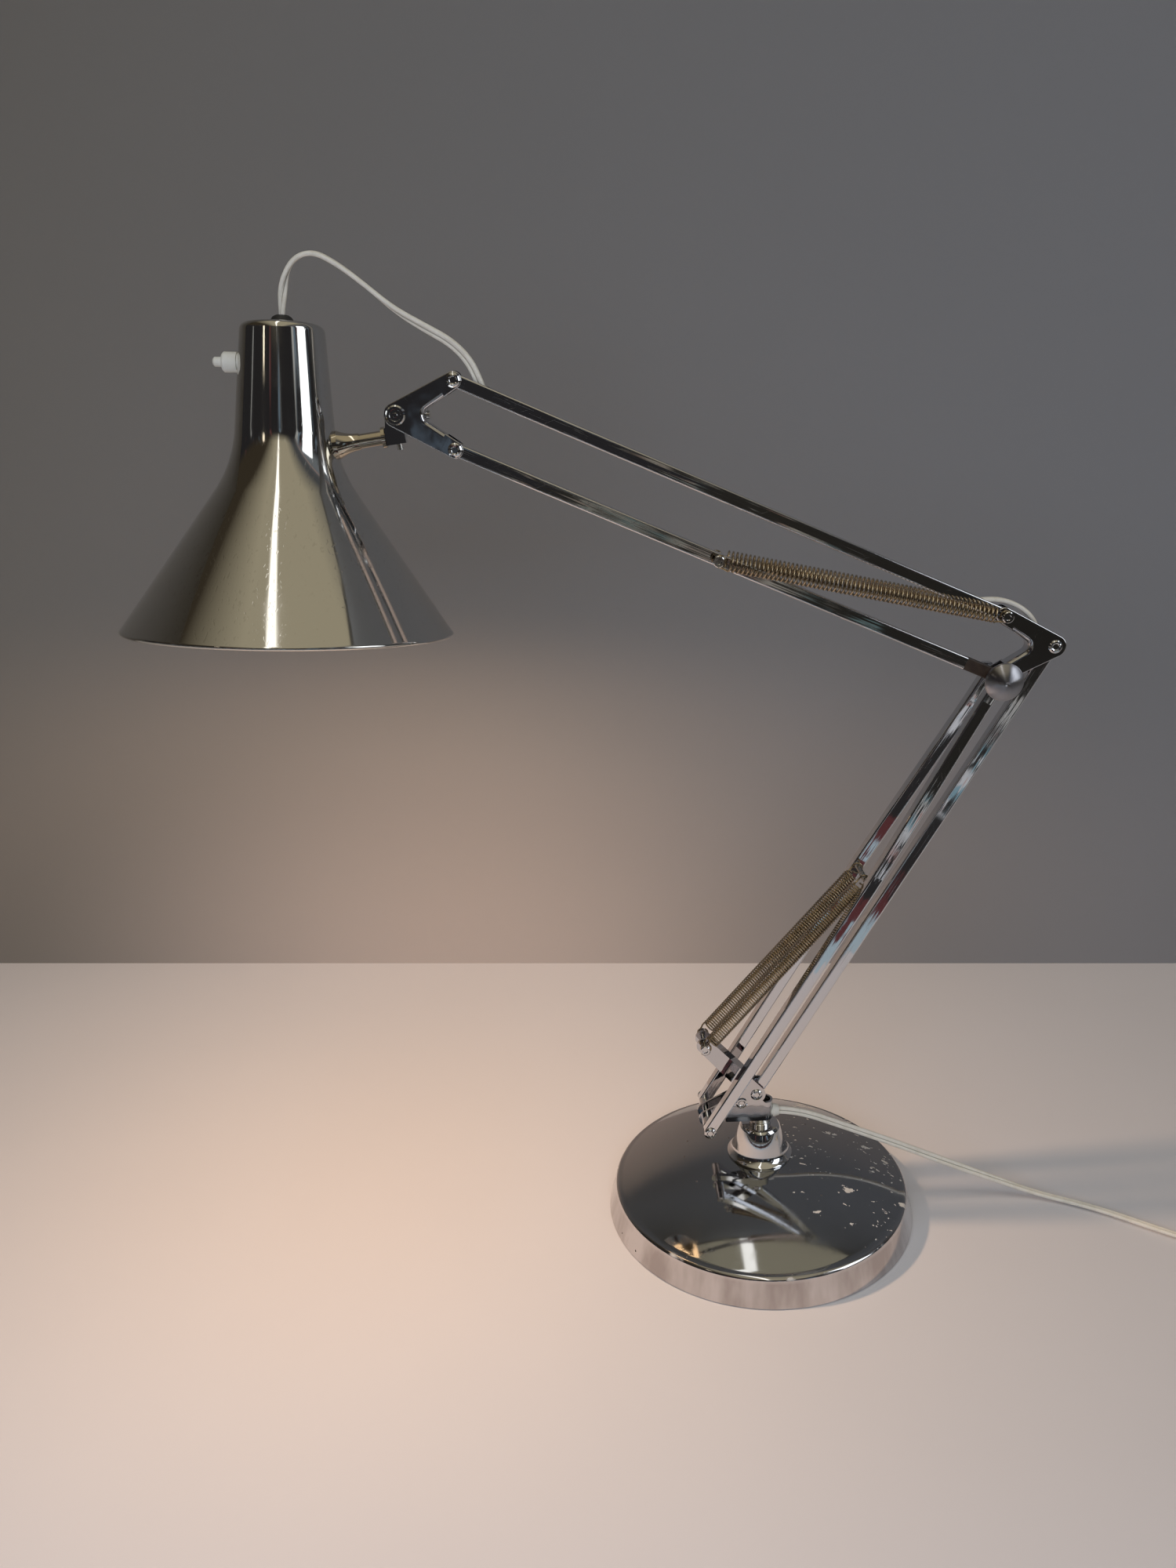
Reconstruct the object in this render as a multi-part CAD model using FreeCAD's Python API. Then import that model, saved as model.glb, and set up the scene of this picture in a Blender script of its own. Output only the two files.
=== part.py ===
import FreeCAD, Part
import math
import os
from FreeCAD import Placement, Rotation, Vector

os.makedirs("parts", exist_ok=True)

# Fits
run_fit = 0.05
fixed_fit = 0.03
side_gap = 0.35
seat_gap = 0.2

# Base
base_radius = 105.0
shoulder_radius = base_radius - 4.3
shoulder_height = 20.3
shoulder_round = 3.0
seat_height = 42.0
seat_radius = 23.0
cover_wall = 1.2
cover_foot = 0.4
felt_radius = base_radius - 6.0
felt_thickness = 1.6
weight_radius = base_radius - 7.0
weight_thickness = 14.0
weight_boss_radius = 22.0
base_bolt_radius = 5.0
base_bolt_head_radius = 8.5
base_bolt_head_height = 6.0
bolt_reach = 10.0

# Bell socket
bell_radius = 22.0
bell_lip = 2.2
bell_flare = 7.0
bell_flare_radius = 17.25
bell_side = 10.5
bell_side_radius = 16.9
bell_shoulder = 1.3
bell_shoulder_radius = 13.6
bell_collar_radius = 12.4
bell_height = 23.5
bell_cap_radius = 7.4
bell_cap_height = 2.4
swivel_radius = 4.2
swivel_depth = 13.0
grub_radius = 2.0

# Arm geometry, angles from +X in the XZ plane
front_pivot_x = -36.5
front_pivot_z = 73.7
link_pitch = 37.5
link_angle = 27.8
vertex_angle = 60.0
lower_length = 350.0
lower_angle = 59.9
upper_length = 347.5
upper_angle = 155.6

# Square tube of the bars
tube_width = 7.6
tube_wall = 0.8
tube_corner = 1.1
bar_end_solid = 4.6
foot_spread = 18.5
bend_start = lower_length - 145.0
bend_end = lower_length - 20.0
bend_radius = 120.0

# Folded brackets
sheet = 1.5
leg_end_radius = 4.8
vertex_radius = 6.8
notch_radius = 4.0
fold_round = 0.7
fold_radius = 2.6
web_clear_radius = 9.0

# Swivel bracket
bracket_bottom = 70.4
bracket_rear_x = 2.8
bracket_left_x = -24.0
rear_height = 14.0
arm_end_radius = 5.2
ear_radius = 6.2
anchor_length = 56.8
anchor_angle = 92.0
block_left_x = -18.0
block_right_x = 2.0
block_height = 8.6
lug_right_x = -9.4
rivet_x = -13.4
rivet_z = 85.0
gland_z = 75.0
gland_flange_radius = 4.4
gland_length = 4.2

# Pins
pivot_pin_radius = 2.2
rivet_radius = 2.0
rivet_head_radius = 4.0
rivet_head_height = 1.3
spring_pin_radius = 1.8
pin_flange_radius = 3.4
pin_flange = 1.2
cross_pin_along = bend_start - 3.0
cross_pin_offset = 1.8
clip_along = upper_length - 185.0
elbow_bolt_radius = 2.5
spacer_radius = 4.0

# Clamp knob
knob_radius = 11.5
knob_rim = 5.0
knob_dome = 3.2
knob_ball = 15.5
knob_edge = 2.5
knob_dimple_radius = 1.3
knob_dimple = 0.5
knob_hub_radius = 6.0
knob_hub = 1.6
nut_radius = 5.2
nut_height = 4.2
friction_length = 21.0
friction_plug = 12.0

# Springs
lower_wire = 1.0
lower_coil_radius = 4.1
lower_turns = 16
lower_spring_y = 9.9
upper_wire = 1.1
upper_coil_radius = 4.5
upper_turns = 12
upper_spring_y = 9.9
eye_radius = 3.3

# Head, stem and shade
stem_drop_x = -6.9
stem_drop_z = -11.8
stem_slope = 6.8
stem_length = 58.0
stem_radius = 4.0
spigot_radius = 2.6
spigot_length = 9.0
collar_radius = 5.8
collar_length = 2.0
knuckle_length = 11.0
knuckle_half = 4.6
knuckle_eye = 6.2
tilt_disc_radius = 5.5
tilt_disc_height = 1.8
tilt_screw_radius = 2.4
stop_radius = 1.6
stop_length = 3.4
groove_depth = 0.5
clamp_radius = 1.5
clamp_head_radius = 2.3
clamp_head_height = 1.8
shade_tilt = 3.5
shade_roll = 6.4
shade_wall = 0.9
rim_radius = 93.5
cone_slope = 34.05
shade_height = 170.0
top_radius = 23.0
neck_slope = 4.75
waist_radius = 70.0
top_round = 4.0
lip_radius = 1.3
junction_height = 101.0
ferrule_length = 12.0
ferrule_radius = 7.8
ferrule_small = 4.6

# Lampholder, bulb, switch, grommet (heights above the rim along the shade axis)
holder_mouth = 106.0
holder_radius = 19.5
holder_body = 30.0
holder_dome = 6.0
holder_neck_radius = 9.0
thread_radius = 13.4
thread_depth = 26.0
nipple_radius = 5.0
nipple_bore = 3.0
nut_thickness = 3.0
nut_out_radius = 8.0
cap_radius = 13.1
cap_length = 24.0
glass_radius = 30.0
glass_length = 80.0
glass_neck_radius = 15.0
glass_wall = 0.9
switch_height = 149.5
switch_bush_radius = 4.8
collar_nut_radius = 5.6
collar_nut_length = 8.4
switch_inside = 9.0
button_radius = 2.7
button_length = 5.4
button_travel = 2.5
grommet_radius = 5.4
grommet_height = 3.2

# Cord
cord_diameter = 4.2
mains_diameter = 4.4
cord_slot_width = 5.0
inner_cord_width = 5.0
inner_cord_thickness = 2.6
coil_outer = 37.5
coil_step = 5.6
coil_climb = 5.4
coil_loops = 4
tie_sheet = 0.7
tie_width = 3.0
plug_length = 36.0
plug_width = 26.0
plug_height = 13.6
plug_relief = 20.0
plug_pin_radius = 2.0
plug_root_radius = 1.5
plug_root = 8.0
plug_pin_length = 19.0
plug_pin_pitch = 18.6
tail_length = 16.0

half = tube_width / 2.0
bore_half = half - tube_wall
plate_in = half + side_gap
plate_out = plate_in + sheet
bar_in = plate_out + side_gap
elbow_spread = bar_in + half
yy = Vector(0, 1, 0)
zz = Vector(0, 0, 1)


def at(x, z, y=0.0):
    return Vector(x, y, z)


def polar(origin, length, angle):
    a = math.radians(angle)
    return origin + Vector(length * math.cos(a), 0, length * math.sin(a))


def cyl(centre, radius, y0, y1):
    return Part.makeCylinder(radius, y1 - y0, Vector(centre.x, y0, centre.z), yy)


def rod(start, end, radius):
    return Part.makeCylinder(radius, (end - start).Length, start, end - start)


def prism(points, y0, y1):
    base = [Vector(p.x, y0, p.z) for p in points]
    return Part.Face(Part.makePolygon(base + base[:1])).extrude(Vector(0, y1 - y0, 0))


def beam(p, q, n0, n1, y0, y1):
    d = (q - p).normalize()
    n = Vector(-d.z, 0, d.x)
    return prism([p + n * n0, q + n * n0, q + n * n1, p + n * n1], y0, y1)


def hull(p, rp, q, rq, y0, y1):
    d = q - p
    turn = math.atan2(d.z, d.x)
    open_angle = math.acos((rp - rq) / d.Length)

    def rim(c, r, a):
        return Vector(c.x + r * math.cos(a), y0, c.z + r * math.sin(a))

    a0 = turn + open_angle
    a1 = turn - open_angle
    edges = [
        Part.Arc(rim(p, rp, a0), rim(p, rp, turn + math.pi), rim(p, rp, a1)).toShape(),
        Part.LineSegment(rim(p, rp, a1), rim(q, rq, a1)).toShape(),
        Part.Arc(rim(q, rq, a1), rim(q, rq, turn), rim(q, rq, a0)).toShape(),
        Part.LineSegment(rim(q, rq, a0), rim(p, rp, a0)).toShape(),
    ]
    return Part.Face(Part.Wire(edges)).extrude(Vector(0, y1 - y0, 0))


def turned(points, origin, axis):
    # Solid of revolution: points are (radius, height) along axis from origin
    wire = Part.makePolygon([Vector(r, 0, h) for r, h in points + points[:1]])
    body = Part.Face(wire).revolve(Vector(0, 0, 0), zz, 360)
    body.Placement = Placement(origin, Rotation(zz, axis))
    return body


def round_edges(shape, radius, test):
    return shape.makeFillet(radius, [e for e in shape.Edges if test(e)])


def on_side(edge, y):
    return all(abs(abs(v.Point.y) - y) < 1e-6 for v in edge.Vertexes)


def one(shape):
    solids = shape.removeSplitter().Solids
    if len(solids) != 1:
        raise ValueError("expected one solid, found %d" % len(solids))
    return solids[0]


def save(name, *shapes):
    solids = [s for shape in shapes for s in shape.Solids]
    for s in solids:
        if not s.isValid() or s.Volume <= 0:
            raise ValueError("bad solid in " + name)
    whole = solids[0] if len(solids) == 1 else Part.makeCompound(solids)
    whole.exportStep("parts/" + name + ".step")


def rivet(centre, radius, grip, head_radius, head_height):
    # Shank through the grip with a low ring head, hollow in the middle, at each end
    h = head_height
    r = head_radius
    ring = [(0, h * 0.4), (r * 0.42, h * 0.4), (r * 0.5, h * 0.85), (r * 0.62, h), (r * 0.8, h * 0.85), (r, h * 0.35), (r, 0)]
    profile = [(x, -grip - y) for x, y in ring] + [(radius, -grip), (radius, grip)]
    profile += [(x, grip + y) for x, y in ring[::-1]]
    return turned(profile, centre, yy)


# Pivots
q1 = at(front_pivot_x, front_pivot_z)
q2 = polar(q1, link_pitch, link_angle)
e1 = polar(q1, lower_length, lower_angle)
e2 = polar(e1, link_pitch, link_angle)
e3 = polar(e1, link_pitch, link_angle + vertex_angle)
h3 = polar(e1, upper_length, upper_angle)
h2 = polar(h3, link_pitch, link_angle + vertex_angle)
h1 = polar(h3, link_pitch, link_angle + 2 * vertex_angle)
s1 = polar(q1, anchor_length, anchor_angle)
cross_pin = polar(polar(q1, cross_pin_along, lower_angle), cross_pin_offset, lower_angle + 90)
clip_pin = polar(h3, clip_along, upper_angle + 180)


# Base cover, weight, felt and centre bolt
def dome_arc(inset):
    # Outer face of the cover moved inwards by a wall, from the shoulder's round to the flat seat
    low = Vector(shoulder_radius - shoulder_round, 0, shoulder_height)
    top = Vector(seat_radius, 0, seat_height)
    chord = top - low
    normal = Vector(-chord.z, 0, chord.x).normalize()
    mid = (low + top) * 0.5 - normal * (chord.Length * 0.045)
    drop = Vector(0, 0, -inset)
    return low + drop, mid + drop, top + drop


low, mid, top = dome_arc(0.0)
low_in, mid_in, top_in = dome_arc(cover_wall)
outer_shoulder = Vector(shoulder_radius, 0, shoulder_height - shoulder_round)
inner_shoulder = outer_shoulder - Vector(cover_wall, 0, 0)
shoulder_mid = Vector(shoulder_radius - shoulder_round * 0.29, 0, shoulder_height - shoulder_round * 0.29)
foot_out = Vector(base_radius, 0, cover_foot)
foot_in = Vector(base_radius - cover_wall, 0, cover_foot)
bolt_hole = base_bolt_radius + fixed_fit
hole_top = Vector(bolt_hole, 0, seat_height)
hole_low = Vector(bolt_hole, 0, seat_height - cover_wall)
cover_edges = [
    Part.LineSegment(foot_in, foot_out).toShape(),
    Part.LineSegment(foot_out, outer_shoulder).toShape(),
    Part.Arc(outer_shoulder, shoulder_mid, low).toShape(),
    Part.Arc(low, mid, top).toShape(),
    Part.LineSegment(top, hole_top).toShape(),
    Part.LineSegment(hole_top, hole_low).toShape(),
    Part.LineSegment(hole_low, top_in).toShape(),
    Part.Arc(top_in, mid_in, low_in).toShape(),
    Part.LineSegment(low_in, inner_shoulder).toShape(),
    Part.LineSegment(inner_shoulder, foot_in).toShape(),
]
save("base_cover", Part.Face(Part.Wire(cover_edges)).revolve(Vector(0, 0, 0), zz, 360))

pocket_top = felt_thickness + base_bolt_head_height + seat_gap
weight_top = felt_thickness + weight_thickness
boss_top = seat_height - cover_wall
pocket_radius = base_bolt_head_radius + 1.0
weight_profile = [(pocket_radius, felt_thickness), (weight_radius, felt_thickness)]
weight_profile += [(weight_radius, weight_top - 4.0), (weight_radius - 6.0, weight_top)]
weight_profile += [(weight_boss_radius + 8.0, weight_top), (weight_boss_radius, weight_top + 6.0)]
weight_profile += [(weight_boss_radius - 2.0, boss_top), (bolt_hole, boss_top)]
weight_profile += [(bolt_hole, pocket_top), (pocket_radius, pocket_top)]
save("base_weight", turned(weight_profile, Vector(0, 0, 0), zz))
save("base_felt", Part.makeCylinder(felt_radius, felt_thickness))


def hexagon(radius, height, origin, axis):
    corners = [Vector(radius * math.cos(k * math.pi / 3), radius * math.sin(k * math.pi / 3), 0) for k in range(7)]
    body = Part.Face(Part.makePolygon(corners)).extrude(Vector(0, 0, height))
    body.Placement = Placement(origin, Rotation(zz, axis))
    return body


bolt_head = hexagon(base_bolt_head_radius, base_bolt_head_height, Vector(0, 0, pocket_top - base_bolt_head_height), zz)
bolt_top = seat_height + bolt_reach
bolt_shank = Part.makeCylinder(base_bolt_radius, bolt_top - pocket_top + 1.0, Vector(0, 0, pocket_top - 1.0))
save("base_bolt", one(bolt_head.fuse(bolt_shank)))

# Bell socket: lip, flare, bowed side, bevelled shoulder and small cap, bored for the bolt and the swivel stud
bell_top = seat_height + bell_height
cap_top = bell_top + bell_cap_height
swivel_bore = swivel_radius + run_fit
lip_top = seat_height + bell_lip
flare = Vector(bell_flare_radius, 0, seat_height + bell_flare)
bell_wall = Vector(bell_side_radius, 0, seat_height + bell_side)
shoulder = Vector(bell_shoulder_radius, 0, bell_top - bell_shoulder)


def bowed(p, q, sag):
    # Middle of the arc from p to q that stands off its chord by the given sag
    chord = q - p
    return (p + q) * 0.5 + Vector(-chord.z, 0, chord.x).normalize() * sag


bell_points = [Vector(bolt_hole, 0, seat_height), Vector(bell_radius, 0, seat_height)]
bell_points += [Vector(bell_radius, 0, lip_top - 0.6), Vector(bell_radius - 0.6, 0, lip_top)]
bell_edges = [Part.LineSegment(a, b).toShape() for a, b in zip(bell_points, bell_points[1:])]
bell_edges.append(Part.Arc(bell_points[-1], bowed(bell_points[-1], flare, 0.97), flare).toShape())
bell_edges.append(Part.LineSegment(flare, bell_wall).toShape())
bell_edges.append(Part.Arc(bell_wall, bowed(bell_wall, shoulder, -0.52), shoulder).toShape())
step = [shoulder, Vector(bell_collar_radius, 0, bell_top)]
step += [Vector(bell_cap_radius, 0, bell_top), Vector(bell_cap_radius, 0, cap_top - 0.6)]
step += [Vector(bell_cap_radius - 0.6, 0, cap_top), Vector(swivel_bore, 0, cap_top)]
step += [Vector(swivel_bore, 0, cap_top - swivel_depth - 0.5), Vector(0, 0, cap_top - swivel_depth - 0.5)]
step += [Vector(0, 0, bolt_top + 0.5), Vector(bolt_hole, 0, bolt_top + 0.5), bell_points[0]]
bell_edges += [Part.LineSegment(a, b).toShape() for a, b in zip(step, step[1:])]
bell = Part.Face(Part.Wire(bell_edges)).revolve(Vector(0, 0, 0), zz, 360)
grub_z = cap_top - swivel_depth * 0.5
grub_tip = swivel_radius - 1.0
bell = bell.cut(Part.makeCylinder(grub_radius + fixed_fit, 30, Vector(0, 0, grub_z), yy))
save("socket_bell", one(bell))
save("socket_grub_screw", Part.makeCylinder(grub_radius, 8.0, Vector(0, grub_tip + 0.3, grub_z), yy))

# Swivel stud with the block between the bracket's cheeks
block = prism(
    [
        at(block_left_x, bracket_bottom),
        at(block_right_x, bracket_bottom),
        at(block_right_x, bracket_bottom + block_height),
        at(lug_right_x, bracket_bottom + block_height),
        at(lug_right_x, rivet_z + rivet_radius + 1.6),
        at(block_left_x, rivet_z + rivet_radius + 1.6),
    ],
    -plate_in + fixed_fit,
    plate_in - fixed_fit,
)
block = block.cut(cyl(at(rivet_x, rivet_z), rivet_radius + fixed_fit, -20, 20))
neck_bottom = cap_top + seat_gap
stud_profile = [(0, cap_top - swivel_depth), (swivel_radius, cap_top - swivel_depth)]
stud_profile += [(swivel_radius, grub_z - grub_radius - 0.6), (swivel_radius - 1.0, grub_z - grub_radius - 0.6)]
stud_profile += [(swivel_radius - 1.0, grub_z + grub_radius + 0.6), (swivel_radius, grub_z + grub_radius + 0.6)]
stud_profile += [(swivel_radius, neck_bottom), (swivel_radius + 2.6, neck_bottom)]
stud_profile += [(swivel_radius + 1.0, bracket_bottom), (0, bracket_bottom)]
stud = turned(stud_profile, Vector(0, 0, 0), zz)
spread = Part.makeBox(block_right_x + 3.0, 2 * plate_in - 2 * fixed_fit, 1.0)
spread.translate(Vector(-3.0, -plate_in + fixed_fit, bracket_bottom))
save("swivel_stud", one(stud.fuse([block, spread])))


# Folded swivel bracket: two cheeks, sloped top web, half round back
def cheek(y0, y1):
    body = hull(q1, leg_end_radius + 1.0, q2, ear_radius, y0, y1)
    slope = hull(s1, arm_end_radius, q2, ear_radius, y0, y1)
    skirt = prism(
        [
            at(bracket_left_x, bracket_bottom),
            at(bracket_rear_x, bracket_bottom),
            at(bracket_rear_x, bracket_bottom + rear_height),
            q2,
            polar(q2, 14.0, link_angle + 180),
            at(bracket_left_x - 1.0, bracket_bottom + 6.0),
        ],
        y0,
        y1,
    )
    return body.fuse([slope, skirt])


slope_angle = math.degrees(math.atan2(q2.z - s1.z, q2.x - s1.x))
slope_length = (q2 - s1).Length
web_tilt = math.degrees(math.asin((ear_radius - arm_end_radius) / slope_length))
web_angle = slope_angle + web_tilt
web_from = polar(polar(s1, arm_end_radius, web_angle + 90), arm_end_radius + 2.0, web_angle)
web_to = polar(web_from, slope_length - 22.0, web_angle)
web = beam(web_from, web_to, -sheet, 0.0, -plate_in, plate_in)
back_axis = Vector(bracket_rear_x, 0, bracket_bottom)
back = Part.makeCylinder(plate_out, rear_height, back_axis, zz, 180).cut(
    Part.makeCylinder(plate_in, rear_height, back_axis, zz, 360)
)
back.rotate(back_axis, zz, -90)
bracket = cheek(-plate_out, -plate_in).fuse([cheek(plate_in, plate_out), web, back])
for centre, radius in (
    (q1, pivot_pin_radius),
    (q2, rivet_radius),
    (s1, spring_pin_radius),
    (at(rivet_x, rivet_z), rivet_radius),
):
    bracket = bracket.cut(cyl(centre, radius + fixed_fit, -40, 40))
gland_hole = mains_diameter / 2.0 + 1.2
bracket = bracket.cut(
    Part.makeCylinder(gland_hole, 30, Vector(bracket_rear_x, 0, gland_z), Vector(1, 0, 0))
)
save("swivel_bracket", one(bracket))

rear_face = bracket_rear_x + plate_out
gland_profile = [(mains_diameter / 2.0 + fixed_fit, -sheet), (gland_hole - fixed_fit, -sheet)]
gland_profile += [(gland_hole - fixed_fit, 0.05), (gland_flange_radius, 0.05), (gland_flange_radius, 1.2)]
gland_profile += [(gland_flange_radius - 0.8, gland_length), (mains_diameter / 2.0 + fixed_fit, gland_length)]
save("cord_gland", turned(gland_profile, Vector(rear_face, 0, gland_z), Vector(1, 0, 0)))

save(
    "bracket_rivets",
    rivet(q2, rivet_radius, plate_out, rivet_head_radius, rivet_head_height),
    rivet(at(rivet_x, rivet_z), rivet_radius, plate_out, rivet_head_radius, rivet_head_height * 0.6),
)

foot_out_y = foot_spread + half
save("front_pivot_pin", rivet(q1, pivot_pin_radius, foot_out_y + seat_gap, rivet_head_radius, rivet_head_height))


def sleeve(centre, r_in, r_out, y0, y1):
    return cyl(centre, r_out, y0, y1).cut(cyl(centre, r_in, y0, y1))


spacer_y = foot_spread - half - seat_gap
save(
    "pivot_spacers",
    sleeve(q1, pivot_pin_radius + fixed_fit, spacer_radius, -spacer_y, -plate_out),
    sleeve(q1, pivot_pin_radius + fixed_fit, spacer_radius, plate_out, spacer_y),
)


def spring_pin(centre, reach):
    # Plain pin with a hollow flange outside each spring eye
    r = pin_flange_radius
    h = pin_flange
    ring = [(0, h * 0.3), (r * 0.42, h * 0.3), (r * 0.52, h), (r * 0.86, h), (r, h * 0.7), (r, 0)]
    profile = [(x, -reach - y) for x, y in ring] + [(spring_pin_radius, -reach), (spring_pin_radius, reach)]
    profile += [(x, reach + y) for x, y in ring[::-1]]
    return turned(profile, centre, yy)


lower_pin_reach = lower_spring_y + lower_wire / 2.0 + 0.8
upper_pin_reach = upper_spring_y + upper_wire / 2.0 + 0.8
save("spring_anchor_pin", spring_pin(s1, lower_pin_reach))


# Bars
def place(shape, origin, angle):
    shape.Placement = Placement(origin, Rotation(yy, -angle))
    return shape


def straight_bar(length, end0, end1):
    # Square tube with round ends, drilled at both pivots, along +X
    a = Vector(0, 0, 0)
    b = Vector(length, 0, 0)
    body = hull(a, half, b, half, -half, half)
    body = round_edges(body, tube_corner, lambda e: on_side(e, half))
    hollow = beam(Vector(end0, 0, 0), Vector(length - end1, 0, 0), -bore_half, bore_half, -bore_half, bore_half)
    return body.cut(hollow)


def drilled(body, holes):
    for x, radius in holes:
        body = body.cut(cyl(Vector(x, 0, 0), radius, -60, 60))
    return body


def slot(x0, x1):
    # Cord opening in the wall on the +Z side of a bar along +X
    w = cord_slot_width / 2.0
    return beam(Vector(x0, 0, 0), Vector(x1, 0, 0), 0.0, half + 1.0, -w, w)


rear = straight_bar(lower_length, bar_end_solid, bar_end_solid)
rear = drilled(rear, [(0, rivet_radius + run_fit), (lower_length, rivet_radius + run_fit)])
rear = rear.cut(slot(lower_length - 18.0, lower_length - bar_end_solid))
save("rear_bar", one(place(rear, q2, lower_angle)))

upper = straight_bar(upper_length, bar_end_solid, bar_end_solid)
upper = drilled(upper, [(0, rivet_radius + run_fit), (upper_length, spring_pin_radius + run_fit)])
upper = upper.cut([slot(8.0, 20.0), slot(upper_length - 27.0, upper_length - 5.5)])
save("upper_bar", one(place(upper, h2, upper_angle + 180)))

tube_length = upper_length - friction_length
lower = straight_bar(upper_length, bar_end_solid, -half)
lower = lower.common(beam(Vector(-half, 0, 0), Vector(tube_length, 0, 0), -half, half, -half, half))
lower = drilled(lower, [(0, rivet_radius + run_fit), (clip_along, spring_pin_radius + fixed_fit)])
save("lower_bar", one(place(lower, h3, upper_angle + 180)))

friction = hull(Vector(tube_length, 0, 0), half, Vector(upper_length, 0, 0), half, -half + 0.2, half - 0.2)
friction = friction.common(beam(Vector(tube_length, 0, 0), Vector(upper_length + half, 0, 0), -half, half, -half, half))
friction = round_edges(friction, tube_corner * 0.6, lambda e: on_side(e, half - 0.2) and e.Length > tube_width)
plug_half = bore_half - fixed_fit
plug = beam(
    Vector(tube_length - friction_plug, 0, 0), Vector(tube_length, 0, 0), -plug_half, plug_half, -plug_half, plug_half
)
friction = drilled(friction.fuse(plug), [(upper_length, elbow_bolt_radius + run_fit)])
save("friction_block", one(place(friction, h3, upper_angle + 180)))
save("spring_clip_pin", spring_pin(clip_pin, upper_pin_reach))


def tangent_runs(points, radii):
    # Edges of straight runs joined by tangent arcs of the given radii
    edges = []
    last = points[0]
    for a, p, b, radius in zip(points, points[1:], points[2:], radii):
        u = (a - p).normalize()
        v = (b - p).normalize()
        turn = math.pi - math.acos(max(-1.0, min(1.0, u.dot(v))))
        reach = radius * math.tan(turn / 2.0)
        begin = p + u * reach
        finish = p + v * reach
        middle = p + (u + v).normalize() * (radius * (1.0 / math.cos(turn / 2.0) - 1.0))
        edges.append(Part.LineSegment(last, begin).toShape())
        edges.append(Part.Arc(begin, middle, finish).toShape())
        last = finish
    edges.append(Part.LineSegment(last, points[-1]).toShape())
    return edges


def offset_band(width, t0, t1):
    # Strip that runs at the foot spread, bends in and runs on at the elbow spread
    slant = math.atan2(foot_spread - elbow_spread, bend_end - bend_start)

    def side(s):
        k = s * math.tan(slant / 2.0)
        return [
            Vector(t0, foot_spread + s, -width),
            Vector(bend_start + k, foot_spread + s, -width),
            Vector(bend_end + k, elbow_spread + s, -width),
            Vector(t1, elbow_spread + s, -width),
        ]

    outer = tangent_runs(side(width), [bend_radius + width, bend_radius - width])
    inner = tangent_runs(side(-width), [bend_radius - width, bend_radius + width])
    ends = [Part.LineSegment(side(width)[k], side(-width)[k]).toShape() for k in (0, -1)]
    wire = Part.Wire(Part.__sortEdges__(outer + inner + ends))
    return Part.Face(wire).extrude(Vector(0, 0, 2 * width))


def bent_bar():
    body = offset_band(half, -half, lower_length + half)
    flat = [e for e in body.Edges if all(abs(abs(v.Point.z) - half) < 1e-6 for v in e.Vertexes)]
    ends = (-half, lower_length + half)
    long_edges = [e for e in flat if not any(all(abs(v.Point.x - x) < 1e-6 for v in e.Vertexes) for x in ends)]
    body = body.makeFillet(tube_corner, long_edges)
    rounded = hull(Vector(0, 0, 0), half, Vector(lower_length, 0, 0), half, 0.0, foot_out_y + 1.0)
    body = body.common(rounded)
    body = body.cut(offset_band(bore_half, bar_end_solid, lower_length - bar_end_solid))
    return drilled(body, [(0, pivot_pin_radius + run_fit), (lower_length, elbow_bolt_radius + run_fit)])


far_bar = bent_bar()
near_bar = far_bar.mirror(Vector(0, 0, 0), yy)
save("front_bar_far", one(place(far_bar, q1, lower_angle)))
frame = Placement(q1, Rotation(yy, -lower_angle))
save("front_bar_near", one(near_bar.transformGeometry(frame.toMatrix())))
cross_reach = foot_spread - half
save("spring_cross_pin", cyl(cross_pin, spring_pin_radius, -cross_reach, cross_reach))


# Folded V brackets of elbow and head
notch_slant = math.radians(vertex_angle / 2.0) + math.asin((vertex_radius - leg_end_radius) / link_pitch)


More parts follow.
